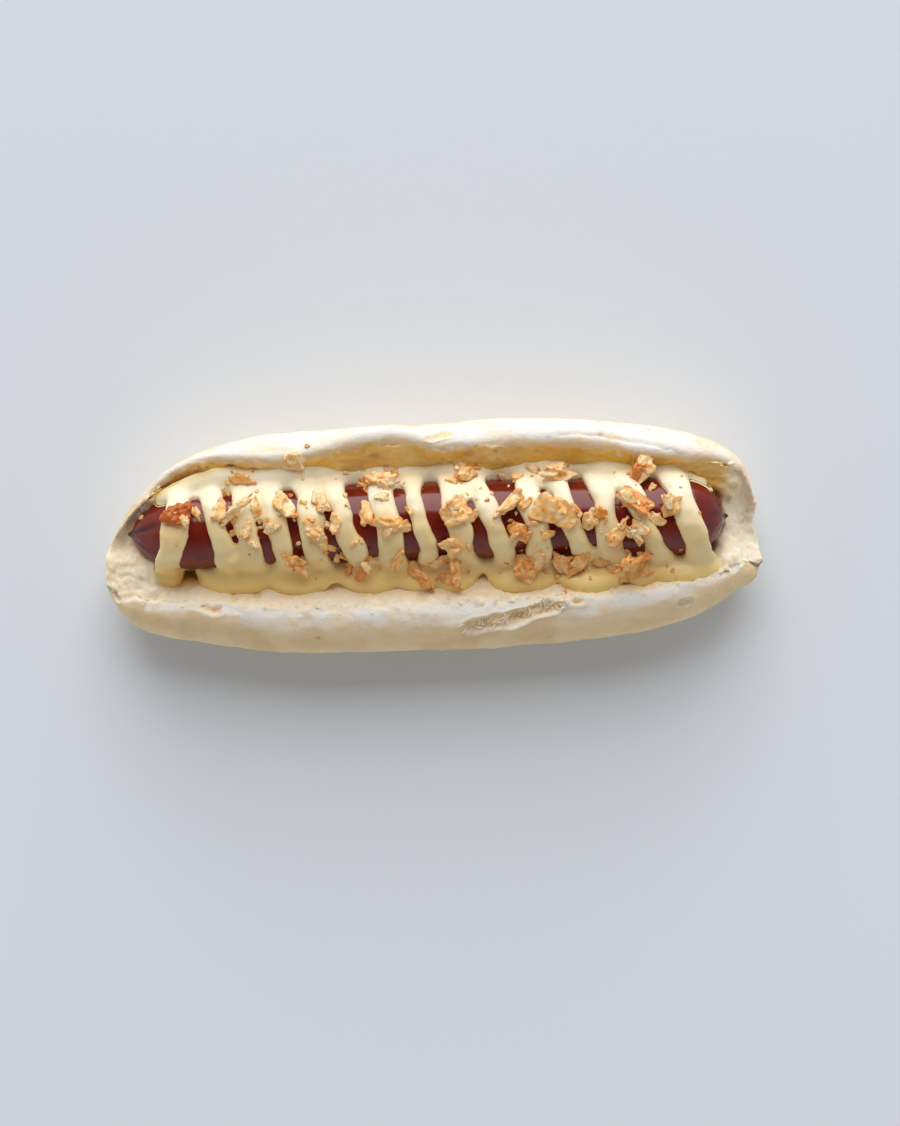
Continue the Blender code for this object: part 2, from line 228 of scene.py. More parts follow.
def mottle_group() -> bpy.types.NodeTree:
    """The shared effect of soft uneven patches: noise on the piece's own coordinates, from 0 to 1."""
    tree = bpy.data.node_groups.get("mottle")
    if tree:
        return tree
    tree = bpy.data.node_groups.new("mottle", "ShaderNodeTree")
    for name, default in (("Scale", 100.0), ("Detail", 2.0), ("Low", 0.4), ("High", 0.6)):
        socket = tree.interface.new_socket(name, in_out="INPUT", socket_type="NodeSocketFloat")
        socket.default_value = default
    tree.interface.new_socket("Offset", in_out="INPUT", socket_type="NodeSocketVector")
    tree.interface.new_socket("Mask", in_out="OUTPUT", socket_type="NodeSocketFloat")
    inside, outside = tree.nodes.new("NodeGroupInput"), tree.nodes.new("NodeGroupOutput")
    place = tree.nodes.new("ShaderNodeTexCoord")
    moved = tree.nodes.new("ShaderNodeVectorMath")
    pattern = tree.nodes.new("ShaderNodeTexNoise")
    levels = tree.nodes.new("ShaderNodeMapRange")
    tree.links.new(place.outputs["Object"], moved.inputs[0])
    tree.links.new(inside.outputs["Offset"], moved.inputs[1])
    tree.links.new(moved.outputs["Vector"], pattern.inputs["Vector"])
    tree.links.new(inside.outputs["Scale"], pattern.inputs["Scale"])
    tree.links.new(inside.outputs["Detail"], pattern.inputs["Detail"])
    tree.links.new(pattern.outputs["Fac"], levels.inputs["Value"])
    tree.links.new(inside.outputs["Low"], levels.inputs["From Min"])
    tree.links.new(inside.outputs["High"], levels.inputs["From Max"])
    tree.links.new(levels.outputs["Result"], outside.inputs["Mask"])
    return tree


class Paint:
    """A material in the making: one Principled shader and the nodes that feed it."""

    def __init__(self, name: str) -> None:
        """Starts the material with nothing but its shader."""
        self.material = bpy.data.materials.new(name)
        self.material.use_nodes = True
        self.tree = self.material.node_tree
        self.shader = self.tree.nodes["Principled BSDF"]
        self.patches = 0

    def set(self, **values: float) -> None:
        """Sets plain numbers on the shader's sockets; an underscore in a name stands for a space."""
        for name, value in values.items():
            self.shader.inputs[name.replace("_", " ")].default_value = value

    def attribute(self, name: str) -> NodeSocket:
        """A number that the mesh keeps at each vertex."""
        node = self.tree.nodes.new("ShaderNodeAttribute")
        node.attribute_name = name
        return node.outputs["Fac"]

    def patches_of(self, size: float, low: float, high: float, detail: float = 2.0) -> NodeSocket:
        """Soft uneven patches.

        Args:
            size: How large the patches are.
            low: Noise under this gives 0.
            high: Noise over this gives 1.
            detail: How much finer noise breaks them up.

        Returns:
            The mask's socket.
        """
        node = self.tree.nodes.new("ShaderNodeGroup")
        node.node_tree = mottle_group()
        self.patches += 1
        node.inputs["Scale"].default_value = 1 / size
        node.inputs["Detail"].default_value = detail
        node.inputs["Low"].default_value = low
        node.inputs["High"].default_value = high
        node.inputs["Offset"].default_value = (0.31 * self.patches, 0.17 * self.patches, 0)
        return node.outputs["Mask"]

    def maths(self, operation: str, first: NodeSocket | float, second: NodeSocket | float) -> NodeSocket:
        """The result of one sum on two numbers, kept between 0 and 1."""
        node = self.tree.nodes.new("ShaderNodeMath")
        node.operation = operation
        node.use_clamp = True
        for socket, value in zip(node.inputs, (first, second)):
            self._feed(socket, value)
        return node.outputs["Value"]

    def mix(self, mask: NodeSocket, below: NodeSocket | Colour, above: NodeSocket | Colour) -> NodeSocket:
        """A colour that goes from below to above as the mask goes from 0 to 1."""
        node = self.tree.nodes.new("ShaderNodeMix")
        node.data_type = "RGBA"
        self.tree.links.new(mask, node.inputs["Factor"])
        colours = [socket for socket in node.inputs if socket.type == "RGBA"]
        for socket, value in zip(colours, (below, above)):
            self._feed(socket, value)
        return next(socket for socket in node.outputs if socket.type == "RGBA")

    def between(self, mask: NodeSocket, low: float, high: float) -> NodeSocket:
        """A number that goes from low to high as the mask goes from 0 to 1."""
        node = self.tree.nodes.new("ShaderNodeMapRange")
        self.tree.links.new(mask, node.inputs["Value"])
        node.inputs["To Min"].default_value = low
        node.inputs["To Max"].default_value = high
        return node.outputs["Result"]

    def feed(self, name: str, socket: NodeSocket) -> None:
        """Joins a socket to one of the shader's."""
        self.tree.links.new(socket, self.shader.inputs[name])

    def bump(self, height: NodeSocket, distance: float, strength: float) -> None:
        """Roughens the surface by up to a distance."""
        node = self.tree.nodes.new("ShaderNodeBump")
        node.inputs["Strength"].default_value = strength
        node.inputs["Distance"].default_value = distance
        self.tree.links.new(height, node.inputs["Height"])
        self.feed("Normal", node.outputs["Normal"])

    def _feed(self, socket: NodeSocket, value: NodeSocket | Colour | float) -> None:
        """Joins a socket to the value, or sets the value on it."""
        if isinstance(value, NodeSocket):
            self.tree.links.new(value, socket)
        elif isinstance(value, tuple):
            socket.default_value = (*value, 1)
        else:
            socket.default_value = value


@dataclass(frozen=True)
class BreadFinish:
    """Pale floury crust and soft open crumb, soaked where the filling touches it, with painted light: whiter
    toward the window, a painted golden glow on the back wall, and painted shade in pits and tears.
    """

    flour: Colour = (0.84, 0.80, 0.74)
    crust: Colour = (0.90, 0.70, 0.42)
    crust_baked: Colour = (0.82, 0.60, 0.33)
    crumb: Colour = (0.93, 0.84, 0.68)
    crumb_deep: Colour = (0.92, 0.74, 0.50)
    soak_glow_gold: Colour = (0.97, 0.55, 0.06)
    soak_glow_pale: Colour = (0.97, 0.66, 0.20)
    speck_and_pit_shade: Colour = (0.58, 0.38, 0.18)

    def material(self) -> Material:
        """Makes the material, which reads the roll's crumb, flour-and-light, soak-and-glow and shaded-pit
        values.
        """
        paint = Paint("bread")
        baked = paint.mix(paint.patches_of(11 * MM, 0.42, 0.64), self.crust, self.crust_baked)
        # Flour on top, with painted light: whiter toward the window, tanner where the left end faces away
        # from it.
        even = paint.between(paint.attribute("flour"), -0.3, 0.5)
        thick = paint.maths("ADD", paint.patches_of(3.5 * MM, 0.3, 0.55, 5), even)
        flour_and_light_cover = paint.maths("MULTIPLY", paint.attribute("flour"), thick)
        skin = paint.mix(flour_and_light_cover, baked, self.flour)
        specks = paint.patches_of(1.1 * MM, 0.69, 0.74)
        skin = paint.mix(paint.maths("MULTIPLY", specks, 0.3), skin, self.speck_and_pit_shade)
        soft = paint.mix(paint.patches_of(1.8 * MM, 0.4, 0.68, 3), self.crumb, self.crumb_deep)
        colour = paint.mix(paint.attribute("crumb"), skin, soft)
        # Soak near the sauce, and the painted golden glow of the back wall.
        oil = paint.mix(paint.patches_of(5 * MM, 0.35, 0.65), self.soak_glow_gold, self.soak_glow_pale)
        colour = paint.mix(paint.attribute("soak"), colour, oil)
        # Painted shade in the pits and caverns, in the specks' colour.
        colour = paint.mix(paint.attribute("pit"), colour, self.speck_and_pit_shade)
        paint.feed("Base Color", colour)
        paint.set(Roughness=0.88, Subsurface_Weight=0.18, Subsurface_Scale=2.5 * MM)
        paint.set(Specular_IOR_Level=0.3)
        paint.bump(paint.patches_of(0.8 * MM, 0.2, 0.8, 5), 0.22 * MM, 0.6)
        return paint.material


@dataclass(frozen=True)
class CasingFinish:
    """Deep red-brown casing, smooth and shiny, dark at its knotted ends, with painted shade in the creases
    that run in from them.
    """

    red: Colour = (0.14, 0.005, 0.001)
    red_light: Colour = (0.21, 0.018, 0.005)
    dark: Colour = (0.05, 0.008, 0.005)
    gloss: float = 0.13

    def material(self) -> Material:
        """Makes the material, which reads the sausage's knot-and-crease-shade value: dark knots, and painted
        shade in the creases.
        """
        paint = Paint("casing")
        colour = paint.mix(paint.patches_of(7 * MM, 0.35, 0.7, 3), self.red, self.red_light)
        colour = paint.mix(paint.patches_of(0.9 * MM, 0.68, 0.78), colour, self.dark)
        # Dark knots at the tips, and painted shade in the creases.
        colour = paint.mix(paint.attribute("gathered"), colour, self.dark)
        paint.feed("Base Color", colour)
        uneven = paint.between(paint.patches_of(2.5 * MM, 0.3, 0.7, 4), self.gloss, self.gloss + 0.09)
        paint.feed("Roughness", uneven)
        paint.set(IOR=1.47, Subsurface_Weight=0.05, Subsurface_Scale=1 * MM)
        paint.bump(paint.patches_of(1.6 * MM, 0.2, 0.8, 3), 0.03 * MM, 0.25)
        return paint.material


@dataclass(frozen=True)
class SauceFinish:
    """Melted cheese sauce: pale where it is thick, yellower where it thins out, and with a painted sheen that
    pales its side toward the window.
    """

    thick: Colour = (0.90, 0.68, 0.32)
    thick_pale: Colour = (0.91, 0.73, 0.40)
    # Painted sheen, for the side toward the window.
    pale: Colour = (0.95, 0.86, 0.64)
    thin: Colour = (0.95, 0.66, 0.21)
    # An orange-brown, for the sauce's specks and for the patch in the gap below the sausage.
    oil: Colour = (0.62, 0.30, 0.035)

    def material(self) -> Material:
        """Makes the material, which reads the sauce's lit, thin and amber-tint values: painted sheen where it
        is lit, and the orange-brown patch in the gap below the sausage.
        """
        paint = Paint("cheese_sauce")
        colour = paint.mix(paint.patches_of(6 * MM, 0.38, 0.66), self.thick, self.thick_pale)
        # Painted sheen: paler on the side toward the window.
        colour = paint.mix(paint.attribute("lit"), colour, self.pale)
        colour = paint.mix(paint.attribute("thin"), colour, self.thin)
        # The orange-brown patch in the gap below the sausage.
        colour = paint.mix(paint.attribute("oil"), colour, self.oil)
        specks = paint.maths("MULTIPLY", paint.patches_of(1.0 * MM, 0.72, 0.78), 0.5)
        colour = paint.mix(specks, colour, self.oil)
        paint.feed("Base Color", colour)
        paint.feed("Roughness", paint.between(paint.patches_of(4 * MM, 0.3, 0.7, 3), 0.26, 0.46))
        paint.set(IOR=1.45, Subsurface_Weight=0.18, Subsurface_Scale=2.5 * MM)
        paint.bump(paint.patches_of(3 * MM, 0.2, 0.8), 0.08 * MM, 0.3)
        return paint.material


@dataclass(frozen=True)
class OnionFinish:
    """Fried onion, from pale straw through gold to amber brown, with oily glints."""

    straw: Colour = (0.97, 0.79, 0.49)
    gold: Colour = (0.93, 0.54, 0.18)
    brown: Colour = (0.70, 0.25, 0.04)
    amber: Colour = (0.52, 0.115, 0.004)
    gloss: float = 0.26

    def material(self) -> Material:
        """Makes the material, which reads each chip's tone and edge values."""
        paint = Paint("fried_onion")
        tone = paint.attribute("tone")
        spread = paint.between(paint.patches_of(2.2 * MM, 0.3, 0.7, 4), -0.2, 0.46)
        depth = paint.maths("ADD", tone, spread)
        low = paint.maths("MULTIPLY", depth, 2.0)
        high = paint.maths("SUBTRACT", paint.maths("MULTIPLY", depth, 1.0), 0.5)
        colour = paint.mix(low, self.straw, self.gold)
        colour = paint.mix(paint.maths("MULTIPLY", high, 2.0), colour, self.brown)
        colour = paint.mix(paint.attribute("edge"), colour, self.brown)
        colour = paint.mix(paint.attribute("amber"), colour, self.amber)
        paint.feed("Base Color", colour)
        paint.feed("Roughness", paint.between(paint.patches_of(1.5 * MM, 0.35, 0.65), self.gloss, 0.5))
        paint.set(Subsurface_Weight=0.2, Subsurface_Scale=1.5 * MM)
        paint.bump(paint.patches_of(0.6 * MM, 0.25, 0.75, 3), 0.1 * MM, 0.4)
        return paint.material


# ---------------------------------------------------------------- the roll


@dataclass(frozen=True)
class Tear:
    """A place where the skin has torn and shows crumb: its middle, size, depth and turn."""

    x: float
    y: float
    length: float
    width: float
    depth: float
    turn_deg: float


@dataclass
class SplitRoll:
    """The split roll: floury skin outside, soft crumb in its pocket."""

    half_length: float = 99.8 * MM
    voxel: float = 0.7 * MM
    back_lip: float = 0.775  # shares of the half width at which the skin ends
    front_lip: float = -0.600
    nose_height: float = 13 * MM
    bed_drop: float = 6 * MM
    tears: tuple[Tear, ...] = (
        Tear(16 * MM, -26.2 * MM, 20 * MM, 4.6 * MM, 1.5 * MM, 13),
        Tear(31 * MM, -22.4 * MM, 24 * MM, 4.6 * MM, 1.7 * MM, 15),
        Tear(-68 * MM, -21.2 * MM, 12 * MM, 3.4 * MM, 1.1 * MM, -12),
        Tear(75 * MM, -20.3 * MM, 6 * MM, 2.6 * MM, 1.0 * MM, 20),
        Tear(-96 * MM, -18 * MM, 5 * MM, 1.8 * MM, 0.8 * MM, -62),
        Tear(1.7 * MM, 30.2 * MM, 7 * MM, 2.2 * MM, 0.9 * MM, 18),
    )
    fold: tuple[tuple[float, float], ...] = (
        (34 * MM, 30.2 * MM),
        (44 * MM, 30.4 * MM),
        (55 * MM, 29.0 * MM),
        (66 * MM, 26.8 * MM),
        (76 * MM, 24.2 * MM),
    )
    # How far the back lip leans out past its plain line, along the roll.
    lean: tuple[tuple[float, float], ...] = (
        (-92 * MM, 0.0),
        (-80 * MM, 2.4 * MM),
        (-65 * MM, 1.4 * MM),
        (-51 * MM, -2.0 * MM),
        (-40 * MM, -2.4 * MM),
        (-25 * MM, 0.6 * MM),
        (-10 * MM, 2.0 * MM),
        (0.0, -1.9 * MM),
        (11 * MM, -1.4 * MM),
        (28 * MM, -0.6 * MM),
        (43 * MM, -1.0 * MM),
        (60 * MM, -3.4 * MM),
        (68 * MM, -3.3 * MM),
        (76 * MM, -2.4 * MM),
        (90 * MM, 0.2 * MM),
    )
    # The foot of the back wall along the roll: where it rises from the sauce, and how high up that is.
    foot: tuple[tuple[float, float, float], ...] = (
        (-72 * MM, 20.0 * MM, 31.0 * MM),
        (-60 * MM, 20.5 * MM, 30.5 * MM),
        (-37 * MM, 21.2 * MM, 29.0 * MM),
        (-27.6 * MM, 19.0 * MM, 27.6 * MM),
        (-18 * MM, 20.8 * MM, 27.0 * MM),
        (-12 * MM, 20.0 * MM, 27.0 * MM),
        (-5 * MM, 22.0 * MM, 27.0 * MM),
        (6 * MM, 22.0 * MM, 27.0 * MM),
        (18 * MM, 19.6 * MM, 26.6 * MM),
        (24 * MM, 22.0 * MM, 27.0 * MM),
        (43 * MM, 22.8 * MM, 27.2 * MM),
        (60 * MM, 22.0 * MM, 27.2 * MM),
        (74 * MM, 20.5 * MM, 27.0 * MM),
        (82 * MM, 17.0 * MM, 25.5 * MM),
        (90 * MM, 14.0 * MM, 24.0 * MM),
    )
    wall_slope: float = 1.0
    wall_top: float = 33.2 * MM

    def build(self, node: Object, sauce: Object) -> Object:
        """Makes the roll.

        Args:
            node: The CAD's roll.
            sauce: The finished sauce, which soaks the crumb near it.

        Returns:
            The roll's mesh, with its values for the bread finish.
        """
        roll = merged_copy(node, "split_roll")
        remeshed(roll, self.voxel, 36)
        self._measure(points_of(roll))
        crumb = self._crumb_mask(points_of(roll))
        self._lean_lip(roll)
        self._slope_wall(roll, crumb)
        self._shape_ends(roll, crumb)
        torn = self._tear_skin(roll, crumb)
        pit_shade = self._roughen(roll, np.maximum(crumb, torn))
        points, normals = points_of(roll), normals_of(roll)
        crumb = np.maximum(crumb, torn)
        store(roll, "crumb", crumb)
        store(roll, "flour", self._flour_and_light_mask(points, normals))
        # The tears get a painted warm shade, mixed in with the soak.
        soak = self._soak_and_glow_mask(points, crumb * (1 - torn), sauce)
        store(roll, "soak", np.maximum(soak, 0.3 * torn))
        store(roll, "pit", pit_shade)
        select_only(roll)
        bpy.ops.object.shade_smooth()
        return roll

    def _measure(self, points: np.ndarray) -> None:
        """Finds the roll's back and front sides all along its length."""
        self.stations = np.arange(-self.half_length + 1 * MM, self.half_length, 2 * MM)
        sides = []
        for x in self.stations:
            here = points[np.abs(points[:, 0] - x) < 1.2 * MM, 1]
            sides.append((here.max(), here.min()))
        self.back, self.front = np.array(sides).T

    def side_at(self, x: np.ndarray, share: float) -> np.ndarray:
        """Y at this share of the half width, at each x."""
        middle = np.interp(x, self.stations, (self.back + self.front) / 2)
        half = np.interp(x, self.stations, (self.back - self.front) / 2)
        return middle + share * half

    def _crumb_mask(self, points: np.ndarray) -> np.ndarray:
        """1 in the pocket and 0 on the skin, with an uneven edge along both lips."""
        x, y, z = points.T
        ragged = 0.9 * MM * grain(points, 3.2 * MM, 1) + 0.5 * MM * grain(points, 1.4 * MM, 2)
        inside = np.minimum(self.side_at(x, self.back_lip) - y, y - self.side_at(x, self.front_lip)) + ragged
        swell = np.sqrt(np.clip(1 - (np.abs(x) / self.half_length) ** 8, 0, 1))
        above = smoothstep(-1 * MM, 1 * MM, z - (self.nose_height - self.bed_drop * swell))
        pocket = smoothstep(-0.5 * MM, 0.5 * MM, inside) * above
        split = smoothstep(-7.5 * MM, -5 * MM, y + ragged) * smoothstep(13.5 * MM, 11.5 * MM, y + ragged)
        return np.maximum(pocket, split * smoothstep(90 * MM, 92 * MM, x) * smoothstep(4 * MM, 7 * MM, z))

    def _slope_wall(self, roll: Object, crumb: np.ndarray) -> None:
        """Fills the back wall of the pocket out to an even slope that faces the light."""
        points = points_of(roll)
        x, y, z = points.T
        along, across, up = np.array(self.foot).T
        foot, height = np.interp(x, along, across), np.interp(x, along, up)
        ramp = np.minimum(height + self.wall_slope * (y - foot), self.wall_top)
        here = smoothstep(along[0] - 6 * MM, along[0] + 4 * MM, x) * smoothstep(94 * MM, 86 * MM, x)
        here = here * smoothstep(foot - 4 * MM, foot - 1 * MM, y) * crumb
        points[:, 2] += np.maximum(ramp - z, 0) * here
        move_points(roll, points)

    def _shape_ends(self, roll: Object, crumb: np.ndarray) -> None:
        """Fills the pocket round both tips with crumb, which runs out through the right end."""
        points = points_of(roll)
        x, y, z = points.T
        high = smoothstep(7 * MM, 13 * MM, z)
        beside = np.abs(y - 1.5 * MM)
        left_bed = 23.2 * MM + np.where(y > 0, 7.8, 3.3) * MM * smoothstep(3 * MM, 9.5 * MM, beside)
        left_bed -= 5 * MM * smoothstep(-87 * MM, -98 * MM, x)
        beside = np.abs(y - 5 * MM)
        right_bed = 22.5 * MM + 5 * MM * smoothstep(3 * MM, 13 * MM, beside)
        right_bed -= 6 * MM * smoothstep(87 * MM, 98 * MM, x)
        ends = np.maximum(smoothstep(-76 * MM, -85 * MM, x), smoothstep(80 * MM, 88 * MM, x))
        bed = np.where(x < 0, left_bed, right_bed) + 0.5 * MM * grain(points, 6 * MM, 6)
        points[:, 2] += 0.92 * np.maximum(bed - z, 0) * ends * high * smoothstep(0.3, 0.95, crumb)
        mouth = np.exp(-(((y - 4 * MM) / (3.6 * MM)) ** 2)) * smoothstep(90 * MM, 98 * MM, x)
        points[:, 0] -= mouth * 2.6 * MM * smoothstep(3 * MM, 12 * MM, z)
        move_points(roll, points)

    def _lean_lip(self, roll: Object) -> None:
        """Leans the back lip out or in, so that its line wanders as a hand-cut one does."""
        points = points_of(roll)
        x, y, z = points.T
        knots = np.array(self.lean)
        spread = np.array([-4, -2, 0, 2, 4]) * MM  # rounds the knots off
        lean = np.mean([np.interp(x + s, knots[:, 0], knots[:, 1]) for s in spread], axis=0)
        share = (y - self.side_at(x, 0)) / (self.side_at(x, 1) - self.side_at(x, 0))
        held = smoothstep(0.45, 0.72, share) * smoothstep(1.03, 0.88, share) * smoothstep(18 * MM, 30 * MM, z)
        points[:, 1] += lean * held
        points[:, 2] += 0.8 * MM * grain(points, 17 * MM, 5, (2, 1, 1)) * held
        move_points(roll, points)

    def _tear_skin(self, roll: Object, crumb: np.ndarray) -> np.ndarray:
        """Opens the tears and the fold in the skin. Returns where crumb shows through."""
        points, normals = points_of(roll), normals_of(roll)
        x, y, _ = points.T
        upper = smoothstep(0.0, 0.35, normals[:, 2]) * (1 - crumb)
        torn = np.zeros(len(points))
        depth = np.zeros(len(points))
        ragged = 0.28 * grain(points, 2.6 * MM, 11, (2, 1, 1)) + 0.35 * grain(points, 6 * MM, 12)
        for tear in self.tears:
            turn = math.radians(tear.turn_deg)
            along = (x - tear.x) * math.cos(turn) + (y - tear.y) * math.sin(turn)
            across = -(x - tear.x) * math.sin(turn) + (y - tear.y) * math.cos(turn)
            out = np.hypot(along / tear.length * 2, across / tear.width * 2) + ragged
            here = smoothstep(1.05, 0.5, out) * upper
            rim = np.exp(-(((out - 1.15) / 0.25) ** 2)) * upper
            torn = np.maximum(torn, here)
            depth += tear.depth * here - 0.3 * MM * rim
        knots = np.array(self.fold)
        line = np.interp(x, knots[:, 0], knots[:, 1])
        first, last = knots[0, 0], knots[-1, 0]
        within = smoothstep(first, first + 5 * MM, x) * smoothstep(last, last - 5 * MM, x)
        aside = y - line - 0.4 * MM * grain(points, 4 * MM, 13)
        depth += 0.5 * MM * np.exp(-((aside / (0.45 * MM)) ** 2)) * within * upper
        depth -= 0.15 * MM * np.exp(-(((aside - 1.5 * MM) / (1.3 * MM)) ** 2)) * within * upper
        move_points(roll, points - normals * depth[:, None])
        return torn

    def _roughen(self, roll: Object, crumb: np.ndarray) -> np.ndarray:
        """Gives the skin its dents and the crumb its bubbles. Returns the painted shade for the skin's pits
        and the crumb's caverns, 0 to 1.
        """
        points, normals = points_of(roll), normals_of(roll)
        x, y, z = points.T
        skin = 1 - crumb
        off_base = smoothstep(0.2 * MM, 3 * MM, z)
        swell = 0.6 * MM * grain(points, 17 * MM, 21, (1.6, 1, 1)) + 0.2 * MM * grain(points, 7 * MM, 22)
        fine = 0.09 * MM * grain(points, 2.6 * MM, 23, (1.8, 1, 1)) + 0.05 * MM * grain(points, 1.2 * MM, 33)
        near, number = bubbles(points, 6.5 * MM, 24)
        pit = smoothstep(0.13, 0.03, near) * (number > 0.7)
        on_skin = swell + fine - 0.5 * MM * pit
        holes, hole_number = bubbles(points, 2.3 * MM, 25)
        hollow = smoothstep(0.5, 0.1, holes) * (0.35 + 0.65 * hole_number)
        large, large_number = bubbles(points, 6 * MM, 26)
        cavern = smoothstep(0.4, 0.12, large) * (large_number > 0.62)
        fluff = 0.3 * MM * grain(points, 3.0 * MM, 27, (2.2, 1, 1)) + 0.24 * MM * grain(points, 1.5 * MM, 28)
        on_crumb = fluff - 0.5 * MM * hollow - 0.7 * MM * cavern
        moved = points + normals * ((on_skin * skin + on_crumb * crumb) * off_base)[:, None]
        from_lip = y - self.side_at(x, self.front_lip)
        edge = np.exp(-((from_lip / (1.6 * MM)) ** 2)) * smoothstep(16 * MM, 24 * MM, z)
        moved[:, 2] += edge * 0.5 * MM * grain(points, 2.3 * MM, 29)
        moved[:, 1] += edge * 0.6 * MM * grain(points, 3.6 * MM, 30)
        moved[:, 2] = np.maximum(moved[:, 2], 0)
        move_points(roll, moved)
        # Painted shade: the skin's pits and the crumb's caverns are darkened.
        return np.maximum(0.8 * pit * skin, 0.25 * cavern * crumb)

    def _flour_and_light_mask(self, points: np.ndarray, normals: np.ndarray) -> np.ndarray:
        """Where flour lies, on what faces up and thinly down the sides, with painted light: whiter on what
        faces the window at the back, and less white, as painted shade, on the front of the left end.
        """
        # Painted light: the lean toward +Y, here and in to_back, follows the window, so what faces it is
        # whiter.
        up = smoothstep(0.3, 1.05, normals[:, 2] + 0.55 * normals[:, 1] - 0.25 * np.abs(normals[:, 0]))
        to_back = 0.15 * smoothstep(0.0, 0.5, normals[:, 1])
        facing_front = smoothstep(0.1, -0.3, normals[:, 1])
        # Painted shade: the front of the left end, which the window doesn't reach, gets less flour and shows
        # tan.
        bare_end = 1 - 0.6 * smoothstep(-45 * MM, -80 * MM, points[:, 0]) * facing_front
        return up * (0.9 + to_back + 0.3 * grain(points, 9 * MM, 31)) * bare_end

    def _soak_and_glow_mask(self, points: np.ndarray, crumb: np.ndarray, sauce: Object) -> np.ndarray:
        """Where fat and sauce have soaked the crumb near the sauce, and a painted golden glow all over the
        back wall, for light bounced off the sauce and shining through the thin lip.
        """
        x, y = points[:, 0], points[:, 1]
        _, away = nearest(tree_of(sauce), points)
        near = np.exp(-np.maximum(away - 0.6 * MM, 0) / (1.6 * MM))
        share = (y - self.side_at(x, 0)) / (self.side_at(x, 1) - self.side_at(x, 0))
        # Painted light: the back wall is painted golden for the glow of light bounced off the sauce and
        # shining through the thin lip, over some real soak.
        wall = smoothstep(0.22, 0.42, share)
        wall = wall * smoothstep(-92 * MM, -74 * MM, x) * smoothstep(93 * MM, 84 * MM, x)
        tip = np.exp(-((np.hypot(x - 80 * MM, y - 18 * MM) / (8 * MM)) ** 2))
        wall = wall * (0.85 + 0.2 * grain(points, 8 * MM, 32, (3, 1, 1)))
        end = 0.12 * smoothstep(-78 * MM, -88 * MM, x)
        # The orange-brown patch in the gap below the sausage reaches the crumb too.
        gap_patch = 1.2 * orange_brown_gap(points)
        near = near * np.where(y < 0, 0.22, 0.75)
        return crumb * np.maximum.reduce([near, wall, tip, end, gap_patch])


@dataclass
class CrumbShreds:
    """Loose tufts of crumb along the torn front edge of the roll."""

    count: int = 130
    seed: int = 5

    def build(self, roll: Object, maker: SplitRoll) -> Object:
        """Strews the tufts over the roll's front edge and joins them in one piece."""
        rng = random.Random(self.seed)
        tree = tree_of(roll)
        kinds = [chip_kind(f"tuft_{i}", 2, 0.75, 40 + i) for i in range(5)]
        tufts = []
        while len(tufts) < self.count:
            x = rng.uniform(-90, 92) * MM
            edge = float(maker.side_at(np.array([x]), maker.front_lip)[0])
            y = edge + rng.gauss(0.6, 0.9) * MM
            hit, normal, _, _ = tree.ray_cast(Vector((x, y, 0.1)), Vector((0, 0, -1)))
            if hit is None or normal.z < 0.2:
                continue
            size = rng.uniform(0.4, 1.2) * MM
            spread = (size * rng.uniform(1.0, 1.9), size, size * 0.6)
            place = stand_on(hit, normal, rng.uniform(0, 360), 0.1 * size)
            tufts.append(placed_copy(rng.choice(kinds), spread, place, crumb=1.0, flour=1.0))
        return joined(tufts, kinds, "crumb_shreds")


@dataclass
class TornStrands:
    """Fine strands of crumb that still hang across the large tear in the roll's front."""

    count: int = 52
    start: tuple[float, float] = (8 * MM, -27.8 * MM)
    end: tuple[float, float] = (41 * MM, -20 * MM)
    thickness: float = 0.16 * MM
    seed: int = 9

    def build(self, roll: Object) -> Object:
        """Draws the strands as fine tubes from side to side of the tear."""
        rng = random.Random(self.seed)
        tree = tree_of(roll)
        curve = bpy.data.curves.new("torn_strands", "CURVE")
        curve.dimensions = "3D"
        curve.bevel_depth, curve.bevel_resolution, curve.use_fill_caps = self.thickness, 1, True
        for _ in range(self.count):
            share = rng.random()
            x = self.start[0] + (self.end[0] - self.start[0]) * share
            y = self.start[1] + (self.end[1] - self.start[1]) * share + rng.gauss(0, 0.9) * MM
            length, turn = rng.uniform(1.6, 3.6) * MM, math.radians(rng.gauss(60, 36))
            lift = rng.uniform(0.4, 1.2) * MM
            bow = rng.uniform(-0.8, 0.8) * MM
            spline = curve.splines.new("POLY")
            spline.points.add(4)
            for i, point in enumerate(spline.points):
                t = i / 4 - 0.5
                arch = 1 - 4 * t * t
                px = x + t * length * math.cos(turn) - bow * arch * math.sin(turn)
                py = y + t * length * math.sin(turn) + bow * arch * math.cos(turn)
                hit = tree.ray_cast(Vector((px, py, 0.1)), Vector((0, 0, -1)))[0]
                point.co = (px, py, (hit.z if hit else 0.02) + lift * arch, 1)
                point.radius = (0.5 + 0.6 * arch) * rng.uniform(0.7, 1.3)
        strands = bpy.data.objects.new("torn_strands", curve)
        bpy.context.scene.collection.objects.link(strands)
        select_only(strands)
        bpy.ops.object.convert(target="MESH")
        strands = bpy.context.object
        ones = np.ones(len(strands.data.vertices))
        store(strands, "crumb", ones)
        bpy.ops.object.shade_smooth()
        return strands


# ---------------------------------------------------------------- the sausage


